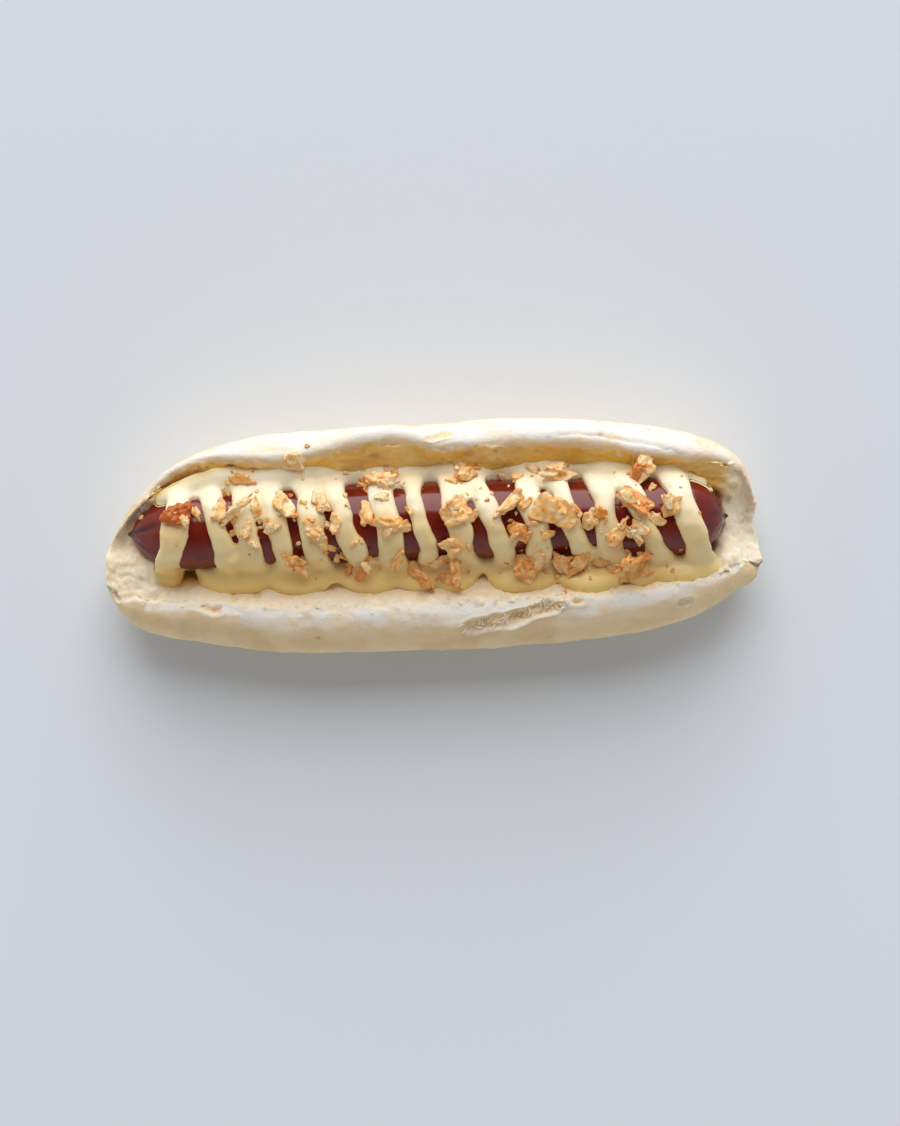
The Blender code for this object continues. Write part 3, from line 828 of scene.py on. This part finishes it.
@dataclass
class Frankfurter:
    """A frankfurter in its casing, gathered into creases and a dark knot at each end."""

    left_cap: float = 17 * MM
    right_cap: float = 13 * MM
    left_point: float = 0.62  # how pointed each cap is: 0.5 is an ellipse
    right_point: float = 0.52
    knot: float = 1.2 * MM
    voxel: float = 0.55 * MM
    creases_each_end: int = 11
    crease_depth: float = 0.42 * MM
    seed: int = 3

    def build(self, node: Object) -> Object:
        """Makes the sausage over the CAD's one, round where that has flat facets."""
        sausage = merged_copy(node, "frankfurter")
        rings = points_of(sausage)
        low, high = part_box(node.name)
        self.left, self.right = low.x + self.knot, high.x - self.knot
        self.radius = (high.z - low.z) / 2
        self.height = (high.z + low.z) / 2
        stations = sorted({round(x, 5) for x in rings[:, 0]})
        middles = [rings[np.abs(rings[:, 0] - x) < 0.02 * MM, 1].mean() for x in stations]
        self.bow = np.polyfit(stations, middles, 2)
        remeshed(sausage, self.voxel, 3)
        self._round_off(sausage)
        select_only(sausage)
        bpy.ops.object.shade_smooth()
        return sausage

    def _round_off(self, sausage: Object) -> None:
        """Puts each vertex at the true radius there, less its creases and dents."""
        points = points_of(sausage)
        x = points[:, 0]
        centre = np.polyval(self.bow, x)
        aside, above = points[:, 1] - centre, points[:, 2] - self.height
        turn = np.arctan2(above, aside)
        now = np.hypot(aside, above)
        inside = np.minimum(x - self.left, self.right - x)
        on_left = x < (self.left + self.right) / 2
        share = np.clip(1 - inside / np.where(on_left, self.left_cap, self.right_cap), 0, 1)
        true = self.radius * (1 - share**2) ** np.where(on_left, self.left_point, self.right_point)
        body = smoothstep(0.2 * MM, 1.4 * MM, inside)
        radius = now + (true - now) * body
        radius -= self._creases(x, turn, inside) * smoothstep(0.0, 2.0 * MM, inside)
        dents = 0.14 * MM * grain(points, 26 * MM, 41, (2, 1, 1)) + 0.02 * MM * grain(points, 3 * MM, 42)
        radius += dents * body
        points[:, 1] = centre + radius * np.cos(turn)
        points[:, 2] = self.height + radius * np.sin(turn)
        move_points(sausage, points)
        # The knots are dark; the creases are darkened as painted shade.
        gathered = smoothstep(0.9 * MM, -0.2 * MM, inside)
        gathered = np.maximum(gathered, self._creases(x, turn, inside) / self.crease_depth * 0.45)
        store(sausage, "gathered", gathered)

    def _creases(self, x: np.ndarray, turn: np.ndarray, inside: np.ndarray) -> np.ndarray:
        """Depth of the creases that run in from both tips, and of the deep tuck at the left one."""
        rng = random.Random(self.seed)
        depth = np.zeros(len(x))
        for side in (-1, 1):
            here = (x - (self.left + self.right) / 2) * side > 0
            for i in range(self.creases_each_end):
                at = (i + rng.uniform(-0.25, 0.25)) / self.creases_each_end * 2 * math.pi - math.pi
                length = rng.uniform(3.5, 9.5) * MM
                bend = rng.uniform(-0.35, 0.35)
                off = np.angle(np.exp(1j * (turn - at - bend * inside / length)))
                around = self.radius * np.sqrt(np.clip(inside / self.left_cap, 0.02, 1))
                width = 0.45 * MM / np.maximum(around, MM)
                run = smoothstep(length, 0.3 * length, inside)
                depth += here * self.crease_depth * run * np.exp(-((off / width) ** 2))
        tuck = np.angle(np.exp(1j * (turn - math.radians(82) - 0.03 * np.sin(inside / (2 * MM)))))
        left_half = x < (self.left + self.right) / 2
        run = smoothstep(12 * MM, 5 * MM, inside)
        depth += left_half * run * 0.95 * MM * np.exp(-((tuck * self.radius / (1.3 * MM)) ** 2))
        return depth


# ---------------------------------------------------------------- the cheese sauce


@dataclass(frozen=True)
class Lobe:
    """A rounded lobe of sauce: its middle and half sizes in millimetres, its turn and tilt in degrees."""

    x: float
    y: float
    z: float
    half_x: float
    half_y: float
    half_z: float
    turn_deg: float = 0.0
    tilt_deg: float = 0.0

    def ball(self) -> Object:
        """The lobe as a flattened ball."""
        bpy.ops.object.select_all(action="DESELECT")
        bpy.ops.mesh.primitive_ico_sphere_add(subdivisions=4, radius=1)
        ball = bpy.context.object
        place = Matrix.Translation((self.x * MM, self.y * MM, self.z * MM))
        tilted = Matrix.Rotation(math.radians(self.tilt_deg), 4, "X")
        turned = Matrix.Rotation(math.radians(self.turn_deg), 4, "Z") @ tilted
        size = Matrix.Diagonal((self.half_x * MM, self.half_y * MM, self.half_z * MM, 1))
        ball.data.transform(place @ turned @ size)
        return ball


@dataclass
class CheeseSauce:
    """Melted sauce in ribbons over the sausage and in pools along both sides of it."""

    lobes: tuple[Lobe, ...] = (
        Lobe(-81.2, -11.6, 22.6, 4.6, 3.4, 2.2, 0, -40),
        Lobe(-60.5, -12.7, 22.9, 10.6, 4.8, 2.7, 0, -42),
        Lobe(-41.2, -12.7, 23.4, 9.2, 4.8, 2.7, 0, -42),
        Lobe(-19.4, -12.3, 23.6, 8.2, 4.8, 2.7, 0, -42),
        Lobe(-5.6, -11.6, 23.6, 6.4, 4.6, 2.6, 0, -42),
        Lobe(6.2, -12.2, 24.0, 6.4, 4.7, 2.6, 0, -42),
        Lobe(26.2, -12.0, 24.8, 10.4, 4.9, 2.7, 2, -42),
        Lobe(47.2, -12.2, 26.2, 9.2, 4.9, 2.6, 2, -42),
        Lobe(62.0, -10.4, 25.9, 5.0, 4.4, 2.5, 4, -42),
        Lobe(76.0, -9.3, 25.9, 9.8, 4.4, 2.5, 6, -42),
        Lobe(-75.9, 13.3, 29.2, 8.8, 4.0, 2.5, 31),
        Lobe(-65.0, 17.4, 28.9, 8.0, 4.0, 2.5, 12),
        Lobe(-59.8, -5.6, 33.2, 2.2, 3.0, 1.6, 0, -25),
        Lobe(78.5, 13.6, 26.4, 4.6, 4.4, 2.2, -30),
    )
    # Where the front pool draws back between two lobes: place along it, half width and how far.
    notches: tuple[tuple[float, float, float], ...] = (
        (-73.8 * MM, 3.6 * MM, 0.62),
        (-50.4 * MM, 1.2 * MM, 0.15),
        (-29.9 * MM, 2.4 * MM, 0.36),
        (-11.6 * MM, 1.3 * MM, 0.2),
        (14.2 * MM, 2.6 * MM, 0.36),
        (37.2 * MM, 1.4 * MM, 0.2),
        (57.2 * MM, 1.6 * MM, 0.2),
        (67.0 * MM, 1.4 * MM, 0.15),
    )
    pool_starts: float = -8 * MM
    pool_kept: float = 0.74

    voxel: float = 0.56 * MM
    swell: float = 0.9 * MM  # how far it swells before it settles, so that its joints fill in
    settle: float = 0.45 * MM
    bite: float = 0.25 * MM  # how deep the sauce reaches into what it clings to

    def build(self, node: Object, sausage: Object, roll_node: Object) -> Object:
        """Makes the sauce.

        Args:
            node: The CAD's sauce.
            sausage: The finished sausage that it clings to.
            roll_node: The CAD's roll, whose pocket the pools fill.

        Returns:
            The sauce's mesh, with its values for the sauce finish.
        """
        sauce = merged_copy(node, "melted_cheese_sauce")
        self._draw_back(sauce)
        balls = [lobe.ball() for lobe in self.lobes]
        select_only(*balls, sauce)
        bpy.ops.object.join()
        finish_with(sauce, "DISPLACE", strength=self.swell, mid_level=0.0, direction="NORMAL")
        remeshed(sauce, self.voxel, 17)
        points, normals = points_of(sauce), normals_of(sauce)
        move_points(sauce, points - normals * self.settle)
        finish_with(sauce, "SMOOTH", factor=0.5, iterations=8)
        self._let_flow(sauce)
        on_sausage = self._cling(sauce, tree_of(sausage), 0.75 * MM, 1.25 * MM)
        on_roll = self._cling(sauce, tree_of(roll_node), 1.1 * MM, 2.2 * MM)
        points, normals = points_of(sauce), normals_of(sauce)
        in_front = smoothstep(-6 * MM, -13 * MM, points[:, 1])
        edges = np.maximum(0.85 * on_roll, 0.3 * on_sausage)
        store(sauce, "thin", np.maximum(edges, 0.75 * in_front))
        # Painted sheen: the back of the sauce, toward the window, is painted paler.
        lit = smoothstep(1 * MM, 12 * MM, points[:, 1])
        store(sauce, "lit", lit * (0.85 + 0.3 * grain(points, 9 * MM, 54)))
        # The orange-brown patch in the gap below the sausage.
        store(sauce, "oil", 0.9 * orange_brown_gap(points))
        select_only(sauce)
        bpy.ops.object.shade_smooth()
        return sauce

    def _draw_back(self, sauce: Object) -> None:
        """Draws the front pool's edge in, most of all between the lobes."""
        points = points_of(sauce)
        x, y, _ = points.T
        kept = np.full(len(points), self.pool_kept)
        for place, half, depth in self.notches:
            kept -= depth * np.exp(-(((x - place) / half) ** 2))
        beyond = np.minimum(y - self.pool_starts, 0)
        points[:, 1] = y - beyond * (1 - kept)
        move_points(sauce, points)

    def _let_flow(self, sauce: Object) -> None:
        """Makes the ribbons and pools as uneven as poured sauce, with a wandering edge."""
        points, normals = points_of(sauce), normals_of(sauce)
        thickness = 0.34 * MM * grain(points, 7 * MM, 51) + 0.12 * MM * grain(points, 3 * MM, 52)
        points += normals * thickness[:, None]
        points[:, 0] += 0.8 * MM * grain(points, 9 * MM, 53, (0.8, 1, 1))
        move_points(sauce, points)

    def _cling(self, sauce: Object, tree: BVHTree, full: float, none: float) -> np.ndarray:
        """Draws the sauce onto a surface that it lies close to.

        Args:
            sauce: The sauce, which is changed.
            tree: The surface's faces.
            full: Within this distance it is drawn all the way, and a little into the surface.
            none: Past this distance it isn't drawn at all.

        Returns:
            How much each vertex was drawn, 0 to 1.
        """
        points = points_of(sauce)
        towards, away = nearest(tree, points)
        drawn = smoothstep(none, full, away)
        step = towards * (1 + self.bite / np.maximum(away, 0.1 * MM))[:, None]
        move_points(sauce, points + step * drawn[:, None])
        return drawn


# ---------------------------------------------------------------- the fried onion


def chip_form(unit: np.ndarray, size: Colour, seed: int) -> np.ndarray:
    """Shapes a ball's points into a crisp chip: a round-cornered ragged plate, curled and uneven.

    Args:
        unit: Points on a ball of radius 1.
        size: The chip's length, width and thickness.
        seed: Which chip it is.

    Returns:
        The chip's points, its length along X and its flat side up.
    """
    length, width, thickness = size
    rng = random.Random(seed)
    angle = np.arctan2(unit[:, 1], unit[:, 0])
    sides, first = rng.randint(4, 5), rng.uniform(0, 90)
    near = np.zeros(len(unit))
    for i in range(sides):
        facing = math.radians(first + (i + rng.uniform(-0.2, 0.2)) * 360 / sides)
        near += (np.maximum(np.cos(angle - facing), 0.05) / rng.uniform(0.78, 1.0)) ** 7
    reach = near ** (-1 / 7)
    flat = np.column_stack([unit[:, 0], unit[:, 1], 0.3 * unit[:, 2]])
    reach *= 1.0 + 0.13 * grain(flat, 0.42, seed) + 0.07 * grain(flat, 0.17, seed + 1)
    rho = np.hypot(unit[:, 0], unit[:, 1]) + 1e-6
    u, v = (unit[:, :2] * (rho**-0.3 * reach)[:, None]).T
    body = np.sign(unit[:, 2]) * np.abs(unit[:, 2]) ** 0.6
    z = body * thickness / 2 * (0.85 + 0.35 * grain(flat, 0.55, seed + 2))
    curled = rng.uniform(-0.5, 0.8) * width * 0.17
    bent = rng.uniform(-1.0, 0.5) * length * 0.07
    z += curled * np.abs(v) ** 1.6 + bent * u**2
    z += 0.1 * thickness * grain(unit, 0.3, seed + 3)
    return np.column_stack([u * length / 2, v * width / 2, z])


def flaky_chip(name: str, size: Colour, voxel: float, seed: int) -> Object:
    """Makes a chip of a few layers that are stuck together, as fried onion is.

    Args:
        name: The piece's name.
        size: Its length, width and the thickness of its main layer.
        voxel: How fine its skin is.
        seed: Which chip it is.

    Returns:
        The chip, lying on the origin, its length along X, with its edge values.
    """
    rng = random.Random(seed)
    length, width, thickness = size
    layers = []
    for i in range(rng.randint(3, 4)):
        bpy.ops.object.select_all(action="DESELECT")
        bpy.ops.mesh.primitive_ico_sphere_add(subdivisions=4, radius=1)
        layer = bpy.context.object
        unit = points_of(layer)
        unit /= np.linalg.norm(unit, axis=1)[:, None]
        share = 1.0 if i == 0 else rng.uniform(0.42, 0.72)
        narrow = 0.86 if i == 0 else rng.uniform(0.45, 0.8)
        form = (length * share, max(width * narrow, thickness), thickness * rng.uniform(0.8, 1.05))
        move_points(layer, chip_form(unit, form, seed * 5 + i))
        if i:
            aside = Vector((rng.uniform(-0.3, 0.3) * length, rng.uniform(-0.32, 0.32) * width, 0))
            aside.z = rng.uniform(0.25, 0.65) * thickness
            turned = Matrix.Rotation(math.radians(rng.gauss(0, 32)), 4, "Z")
            tilted = Matrix.Rotation(math.radians(rng.gauss(0, 15)), 4, "X")
            rolled = Matrix.Rotation(math.radians(rng.gauss(0, 12)), 4, "Y")
            layer.data.transform(Matrix.Translation(aside) @ turned @ tilted @ rolled)
        layers.append(layer)
    select_only(*layers)
    bpy.ops.object.join()
    chip = bpy.context.object
    chip.name = chip.data.name = name
    finish_with(chip, "REMESH", mode="VOXEL", voxel_size=voxel)
    points, normals = points_of(chip), normals_of(chip)
    coarse = 0.09 * thickness * grain(points, 0.9 * thickness, seed)
    crisp = coarse + 0.05 * thickness * grain(points, 0.4 * thickness, seed + 1)
    move_points(chip, points + normals * crisp[:, None])
    sharp = points_of(chip)
    finish_with(chip, "SMOOTH", factor=0.5, iterations=8)
    rim = ((sharp - points_of(chip)) * normals_of(chip)).sum(1) / thickness
    soft = points_of(chip)
    move_points(chip, soft + 0.8 * (sharp - soft))
    store(chip, "edge", smoothstep(0.01, 0.085, rim) * 0.95)
    return chip


def chip_kind(name: str, detail: int, plumpness: float, seed: int) -> Object:
    """One kind of small chip, of unit length, to be copied to many places."""
    bpy.ops.object.select_all(action="DESELECT")
    bpy.ops.mesh.primitive_ico_sphere_add(subdivisions=detail, radius=1)
    kind = bpy.context.object
    kind.name = name
    unit = points_of(kind)
    unit /= np.linalg.norm(unit, axis=1)[:, None]
    move_points(kind, chip_form(unit, (1.0, 1.0, plumpness), seed))
    store(kind, "edge", smoothstep(0.8, 1.0, np.hypot(unit[:, 0], unit[:, 1])) * 0.7)
    return settled(kind)


def settled(kind: Object) -> Object:
    """Lets a kind down so that only its lowest corners are under the origin."""
    points = points_of(kind)
    move_points(kind, points - np.array([0, 0, np.quantile(points[:, 2], 0.12)]))
    return kind


def stand_on(hit: Vector, normal: Vector, turn_deg: float, sunk: float) -> Matrix:
    """Where something lies that rests on a surface with this upward direction."""
    lean = Vector((0, 0, 1)).rotation_difference(normal).to_matrix().to_4x4()
    return Matrix.Translation(hit - normal * sunk) @ lean @ Matrix.Rotation(math.radians(turn_deg), 4, "Z")


def placed_copy(kind: Object, size: Colour, place: Matrix, **values: float) -> Object:
    """A copy of a kind with its own mesh, at its size and place, that keeps these values all over."""
    copy = kind.copy()
    copy.data = kind.data.copy()
    bpy.context.scene.collection.objects.link(copy)
    copy.data.transform(place @ Matrix.Diagonal((*size, 1)))
    for name, value in values.items():
        store(copy, name, np.full(len(copy.data.vertices), value))
    return copy


def joined(copies: list[Object], kinds: list[Object], name: str) -> Object:
    """Joins the copies into one piece and clears their kinds away."""
    for kind in kinds:
        bpy.data.objects.remove(kind)
    select_only(*copies)
    bpy.ops.object.join()
    piece = bpy.context.object
    piece.name = name
    piece.data.name = name
    bpy.ops.object.shade_smooth_by_angle(angle=math.radians(32))
    return piece


@dataclass
class OnionChips:
    """The large pieces of fried onion, one for each of the CAD's."""

    thickness: float = 1.75 * MM
    sunk: float = 0.7 * MM
    voxel: float = 0.27 * MM
    spread: float = 1.1
    front_tone: float = 0.22  # how much browner the chips on the front side are
    amber: str = "onion_01"
    dark: tuple[str, ...] = ("onion_26", "onion_24", "onion_17", "onion_22", "onion_08")

    def build(self, node: Object) -> Object:
        """Makes the chip that stands for one CAD node, in its place but pressed into the sauce."""
        seed = int(node.name.rsplit("_", 1)[1]) * 7
        solid = merged_copy(node, "solid")
        corners = points_of(solid)
        bpy.data.objects.remove(solid)
        centre = corners.mean(0)
        _, _, axes = np.linalg.svd(corners - centre, full_matrices=False)
        axes *= np.array([1, 1, math.copysign(1, axes[2, 2])])[:, None]
        if np.linalg.det(axes) < 0:
            axes[1] *= -1
        half = np.abs((corners - centre) @ axes.T).max(0)
        size = (2 * half[0], 2 * half[1], self.thickness)
        chip = flaky_chip(node.name.replace("onion", "onion_chip"), size, self.voxel, seed)
        formed = points_of(chip)
        formed[:, :2] *= self.spread * half[:2] / np.abs(formed[:, :2]).max(0)
        move_points(chip, centre + formed @ axes - np.array([0, 0, self.sunk]))
        rng = random.Random(seed)
        tone = rng.uniform(0.5, 0.75) if node.name in self.dark else rng.uniform(0.05, 0.42)
        tone += self.front_tone * float(centre[1] < -3 * MM)
        places = points_of(chip)
        store(chip, "tone", tone + 0.14 * grain(places, 2.4 * MM, seed))
        store(chip, "amber", np.full(len(places), 1.0 if node.name == self.amber else 0.0))
        select_only(chip)
        bpy.ops.object.shade_smooth()
        return chip


@dataclass
class OnionBits:
    """The small pieces of fried onion, strewn over the sauce and thickest round the large ones."""

    medium: int = 84
    small: int = 190
    kinds: int = 8
    left_end: float = -64 * MM
    right_end: float = 76 * MM
    seed: int = 17
    # Bits with a place of their own, in millimetres: x, y, length, width, turn in degrees, tone.
    laid: tuple[tuple[float, ...], ...] = (
        (-52.3, 6.6, 6.9, 4.5, 100, 0.35),
        (-63.7, 8.0, 7.5, 4.2, 75, 0.2),
        (-29.3, 3.5, 5.4, 4.8, 45, 0.15),
        (-58.5, 16.9, 6.9, 3.9, -10, 0.5),
        (-20.0, 7.3, 7.8, 4.2, 100, 0.3),
        (-11.1, -6.8, 7.8, 2.7, 55, 0.4),
        (1.2, -7.6, 7.2, 3.6, 20, 0.3),
        (49.6, 6.6, 3.9, 3.9, 0, 1.0),
        (53.8, 0.1, 6.3, 5.7, 0, 0.35),
        (60.7, -10.8, 7.2, 5.4, 0, 0.55),
        (66.5, 4.6, 5.7, 3.6, -20, 0.25),
        (-56.0, 1.5, 5.6, 3.4, 40, 0.05),
        (-48.6, 1.9, 5.0, 3.4, 20, 0.1),
        (44.5, -6.5, 7.0, 4.6, 60, 0.5),
        (30.5, -7.0, 7.0, 5.0, 30, 0.3),
        (4.0, -13.0, 7.0, 4.0, -35, 0.5),
        (57.5, 11.0, 6.0, 3.4, -35, 0.2),
        (61.0, 2.6, 6.4, 4.2, -50, 0.1),
    )

    def build(self, chips: list[Object], ground: list[Object]) -> Object:
        """Strews the bits on the ground and the chips, and joins them in one piece."""
        rng = random.Random(self.seed)
        trees = [tree_of(obj) for obj in (*ground, *chips)]
        kinds = [settled(flaky_chip(f"bit_{i}", (1.0, 0.8, 0.3), 0.055, 90 + 3 * i)) for i in range(3)]
        kinds += [chip_kind(f"bit_{i}", 2, 0.45, 70 + 5 * i) for i in range(3, self.kinds)]
        for kind in kinds[:3]:
            finish_with(kind, "DECIMATE", ratio=0.5)
        middles = [points_of(chip).mean(0) for chip in chips]
        bits: list[Object] = []
        for x, y, length, width, turn, tone in self.laid:
            hit, normal = self._under(trees, x * MM, y * MM)
            size = (length * MM, width * MM / 0.8, min(length, 5.0) * MM)
            place = stand_on(hit, normal.lerp(Vector((0, 0, 1)), 0.4).normalized(), turn, 0.2 * MM)
            bits.append(placed_copy(kinds[len(bits) % 3], size, place, tone=tone))
        while len(bits) < self.medium + self.small:
            large = len(bits) < self.medium
            x, y = self._place(rng, middles)
            found = self._under(trees, x, y)
            if found is None or found[1].z < 0.35:
                continue
            length = rng.uniform(2.6, 5.2) * MM if large else rng.triangular(0.5, 2.2, 0.9) * MM
            size = (length, length * rng.uniform(0.45, 0.9), min(length, 2.6 * MM) * rng.uniform(0.9, 1.4))
            tilted = found[1].lerp(Vector((rng.gauss(0, 0.3), rng.gauss(0, 0.3), 1)), 0.35).normalized()
            place = stand_on(found[0], tilted, rng.uniform(0, 360), 0.1 * MM)
            kind = kinds[rng.randrange(3)] if large else kinds[rng.randrange(3, self.kinds)]
            tone = abs(rng.gauss(0.25, 0.28)) + 0.2 * float(y < -3 * MM)
            bits.append(placed_copy(kind, size, place, tone=min(1.0, tone)))
        return joined(bits, kinds, "onion_bits")

    def _place(self, rng: random.Random, middles: list[np.ndarray]) -> tuple[float, float]:
        """Somewhere near a large piece, or now and then anywhere over the filling."""
        if rng.random() < 0.72:
            near = rng.choice(middles)
            return near[0] + rng.gauss(0, 4.2) * MM, near[1] + rng.gauss(0, 3.4) * MM
        return rng.uniform(self.left_end, self.right_end), rng.uniform(-14, 21) * MM

    def _under(self, trees: list[BVHTree], x: float, y: float) -> tuple[Vector, Vector] | None:
        """The highest place under (x, y) and its upward direction, if there is any."""
        hits = [tree.ray_cast(Vector((x, y, 0.1)), Vector((0, 0, -1)))[:2] for tree in trees]
        hits = [hit for hit in hits if hit[0] is not None]
        return max(hits, key=lambda hit: hit[0].z) if hits else None


# ---------------------------------------------------------------- the studio


@dataclass
class Studio:
    """A pale floor, one wide soft window of light behind the roll, a plain sky and the camera overhead."""

    floor_colour: Colour = (0.79, 0.83, 0.89)
    window_distance: float = 5.0
    window_top_deg: float = 64.0
    window_width: float = 4.8
    window_radiance: float = 3.1
    low_light: float = 0.72
    overhead_light: float = 0.08
    camera_height: float = 0.825
    frame_height: float = 339.5 * MM  # what the picture's long side takes in, level with the filling
    filling_height: float = 25 * MM
    aim: tuple[float, float] = (4.7 * MM, -8.0 * MM)

    def build(self) -> None:
        """Sets everything up round the object."""
        self._floor()
        self._window()
        self._sky()
        self._camera()
        bpy.context.scene.view_settings.view_transform = "Standard"

    def _floor(self) -> None:
        """Lays the floor."""
        bpy.ops.object.select_all(action="DESELECT")
        bpy.ops.mesh.primitive_plane_add(size=8)
        floor = bpy.context.object
        floor.name = "floor"
        paint = Paint("floor")
        paint.set(Base_Color=(*self.floor_colour, 1), Roughness=0.6, Specular_IOR_Level=0.2)
        floor.data.materials.append(paint.material)

    def _window(self) -> None:
        """Hangs the soft window, whose foot is on the horizon and whose top is at its stated height."""
        half = math.radians(self.window_top_deg / 2)
        height = 2 * self.window_distance * math.tan(half)
        lamp = bpy.data.lights.new("window", "AREA")
        lamp.shape = "RECTANGLE"
        lamp.size, lamp.size_y = self.window_width, height
        lamp.energy = self.window_radiance * math.pi * self.window_width * height
        window = bpy.data.objects.new("window", lamp)
        bpy.context.scene.collection.objects.link(window)
        out = Vector((0, math.cos(half), math.sin(half)))
        window.location = out * self.window_distance + Vector((0, 0, self.filling_height))
        window.rotation_euler = out.to_track_quat("Z", "Y").to_euler()

    def _sky(self) -> None:
        """Lights the rest plainly, less from overhead than from the sides."""
        world = bpy.data.worlds.new("sky")
        bpy.context.scene.world = world
        world.use_nodes = True
        tree = world.node_tree
        background = tree.nodes["Background"]
        background.inputs["Color"].default_value = (1, 1, 1, 1)
        place = tree.nodes.new("ShaderNodeTexCoord")
        axes = tree.nodes.new("ShaderNodeSeparateXYZ")
        level = tree.nodes.new("ShaderNodeMapRange")
        level.interpolation_type = "SMOOTHSTEP"
        level.inputs["From Min"].default_value = 0.35
        level.inputs["From Max"].default_value = 0.95
        level.inputs["To Min"].default_value = self.low_light
        level.inputs["To Max"].default_value = self.overhead_light
        path = tree.nodes.new("ShaderNodeLightPath")
        seen = tree.nodes.new("ShaderNodeMix")
        seen.inputs["B"].default_value = 0.85
        tree.links.new(place.outputs["Generated"], axes.inputs["Vector"])
        tree.links.new(axes.outputs["Z"], level.inputs["Value"])
        tree.links.new(path.outputs["Is Camera Ray"], seen.inputs["Factor"])
        tree.links.new(level.outputs["Result"], seen.inputs["A"])
        tree.links.new(seen.outputs["Result"], background.inputs["Strength"])

    def _camera(self) -> None:
        """Looks straight down on the hot dog."""
        camera = bpy.data.cameras.new("camera")
        distance = self.camera_height - self.filling_height
        camera.lens = camera.sensor_width * distance / self.frame_height
        overhead = bpy.data.objects.new("camera", camera)
        overhead.location = (*self.aim, self.camera_height)
        bpy.context.scene.collection.objects.link(overhead)
        bpy.context.scene.camera = overhead


# ---------------------------------------------------------------- the whole hot dog


def main() -> None:
    """Builds every piece over the frame and lights it."""
    logging.basicConfig(level=logging.INFO, format="%(name)s: %(message)s")
    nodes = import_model()["nodes"]
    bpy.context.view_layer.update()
    casing, cheese = CasingFinish().material(), SauceFinish().material()
    bread, crisp = BreadFinish().material(), OnionFinish().material()

    sausage = dress(Frankfurter().build(nodes["sausage"]), casing, Slot.SAUSAGE, "sausage")
    sauce = CheeseSauce().build(nodes["cheese_sauce"], sausage, nodes["roll"])
    dress(sauce, cheese, Slot.SAUCE, "cheese_sauce")
    baker = SplitRoll()
    roll = dress(baker.build(nodes["roll"], sauce), bread, Slot.ROLL, "roll")
    dress(CrumbShreds().build(roll, baker), bread, Slot.ROLL)
    dress(TornStrands().build(roll), bread, Slot.ROLL)

    fryer = OnionChips()
    chips = []
    for name in sorted(nodes):
        if name.startswith("onion_"):
            chips.append(dress(fryer.build(nodes[name]), crisp, Slot.ONION, name))
    bits = OnionBits().build(chips, [sauce, sausage, roll])
    dress(bits, crisp, Slot.ONION)

    Studio().build()


if __name__ == "__main__":
    main()
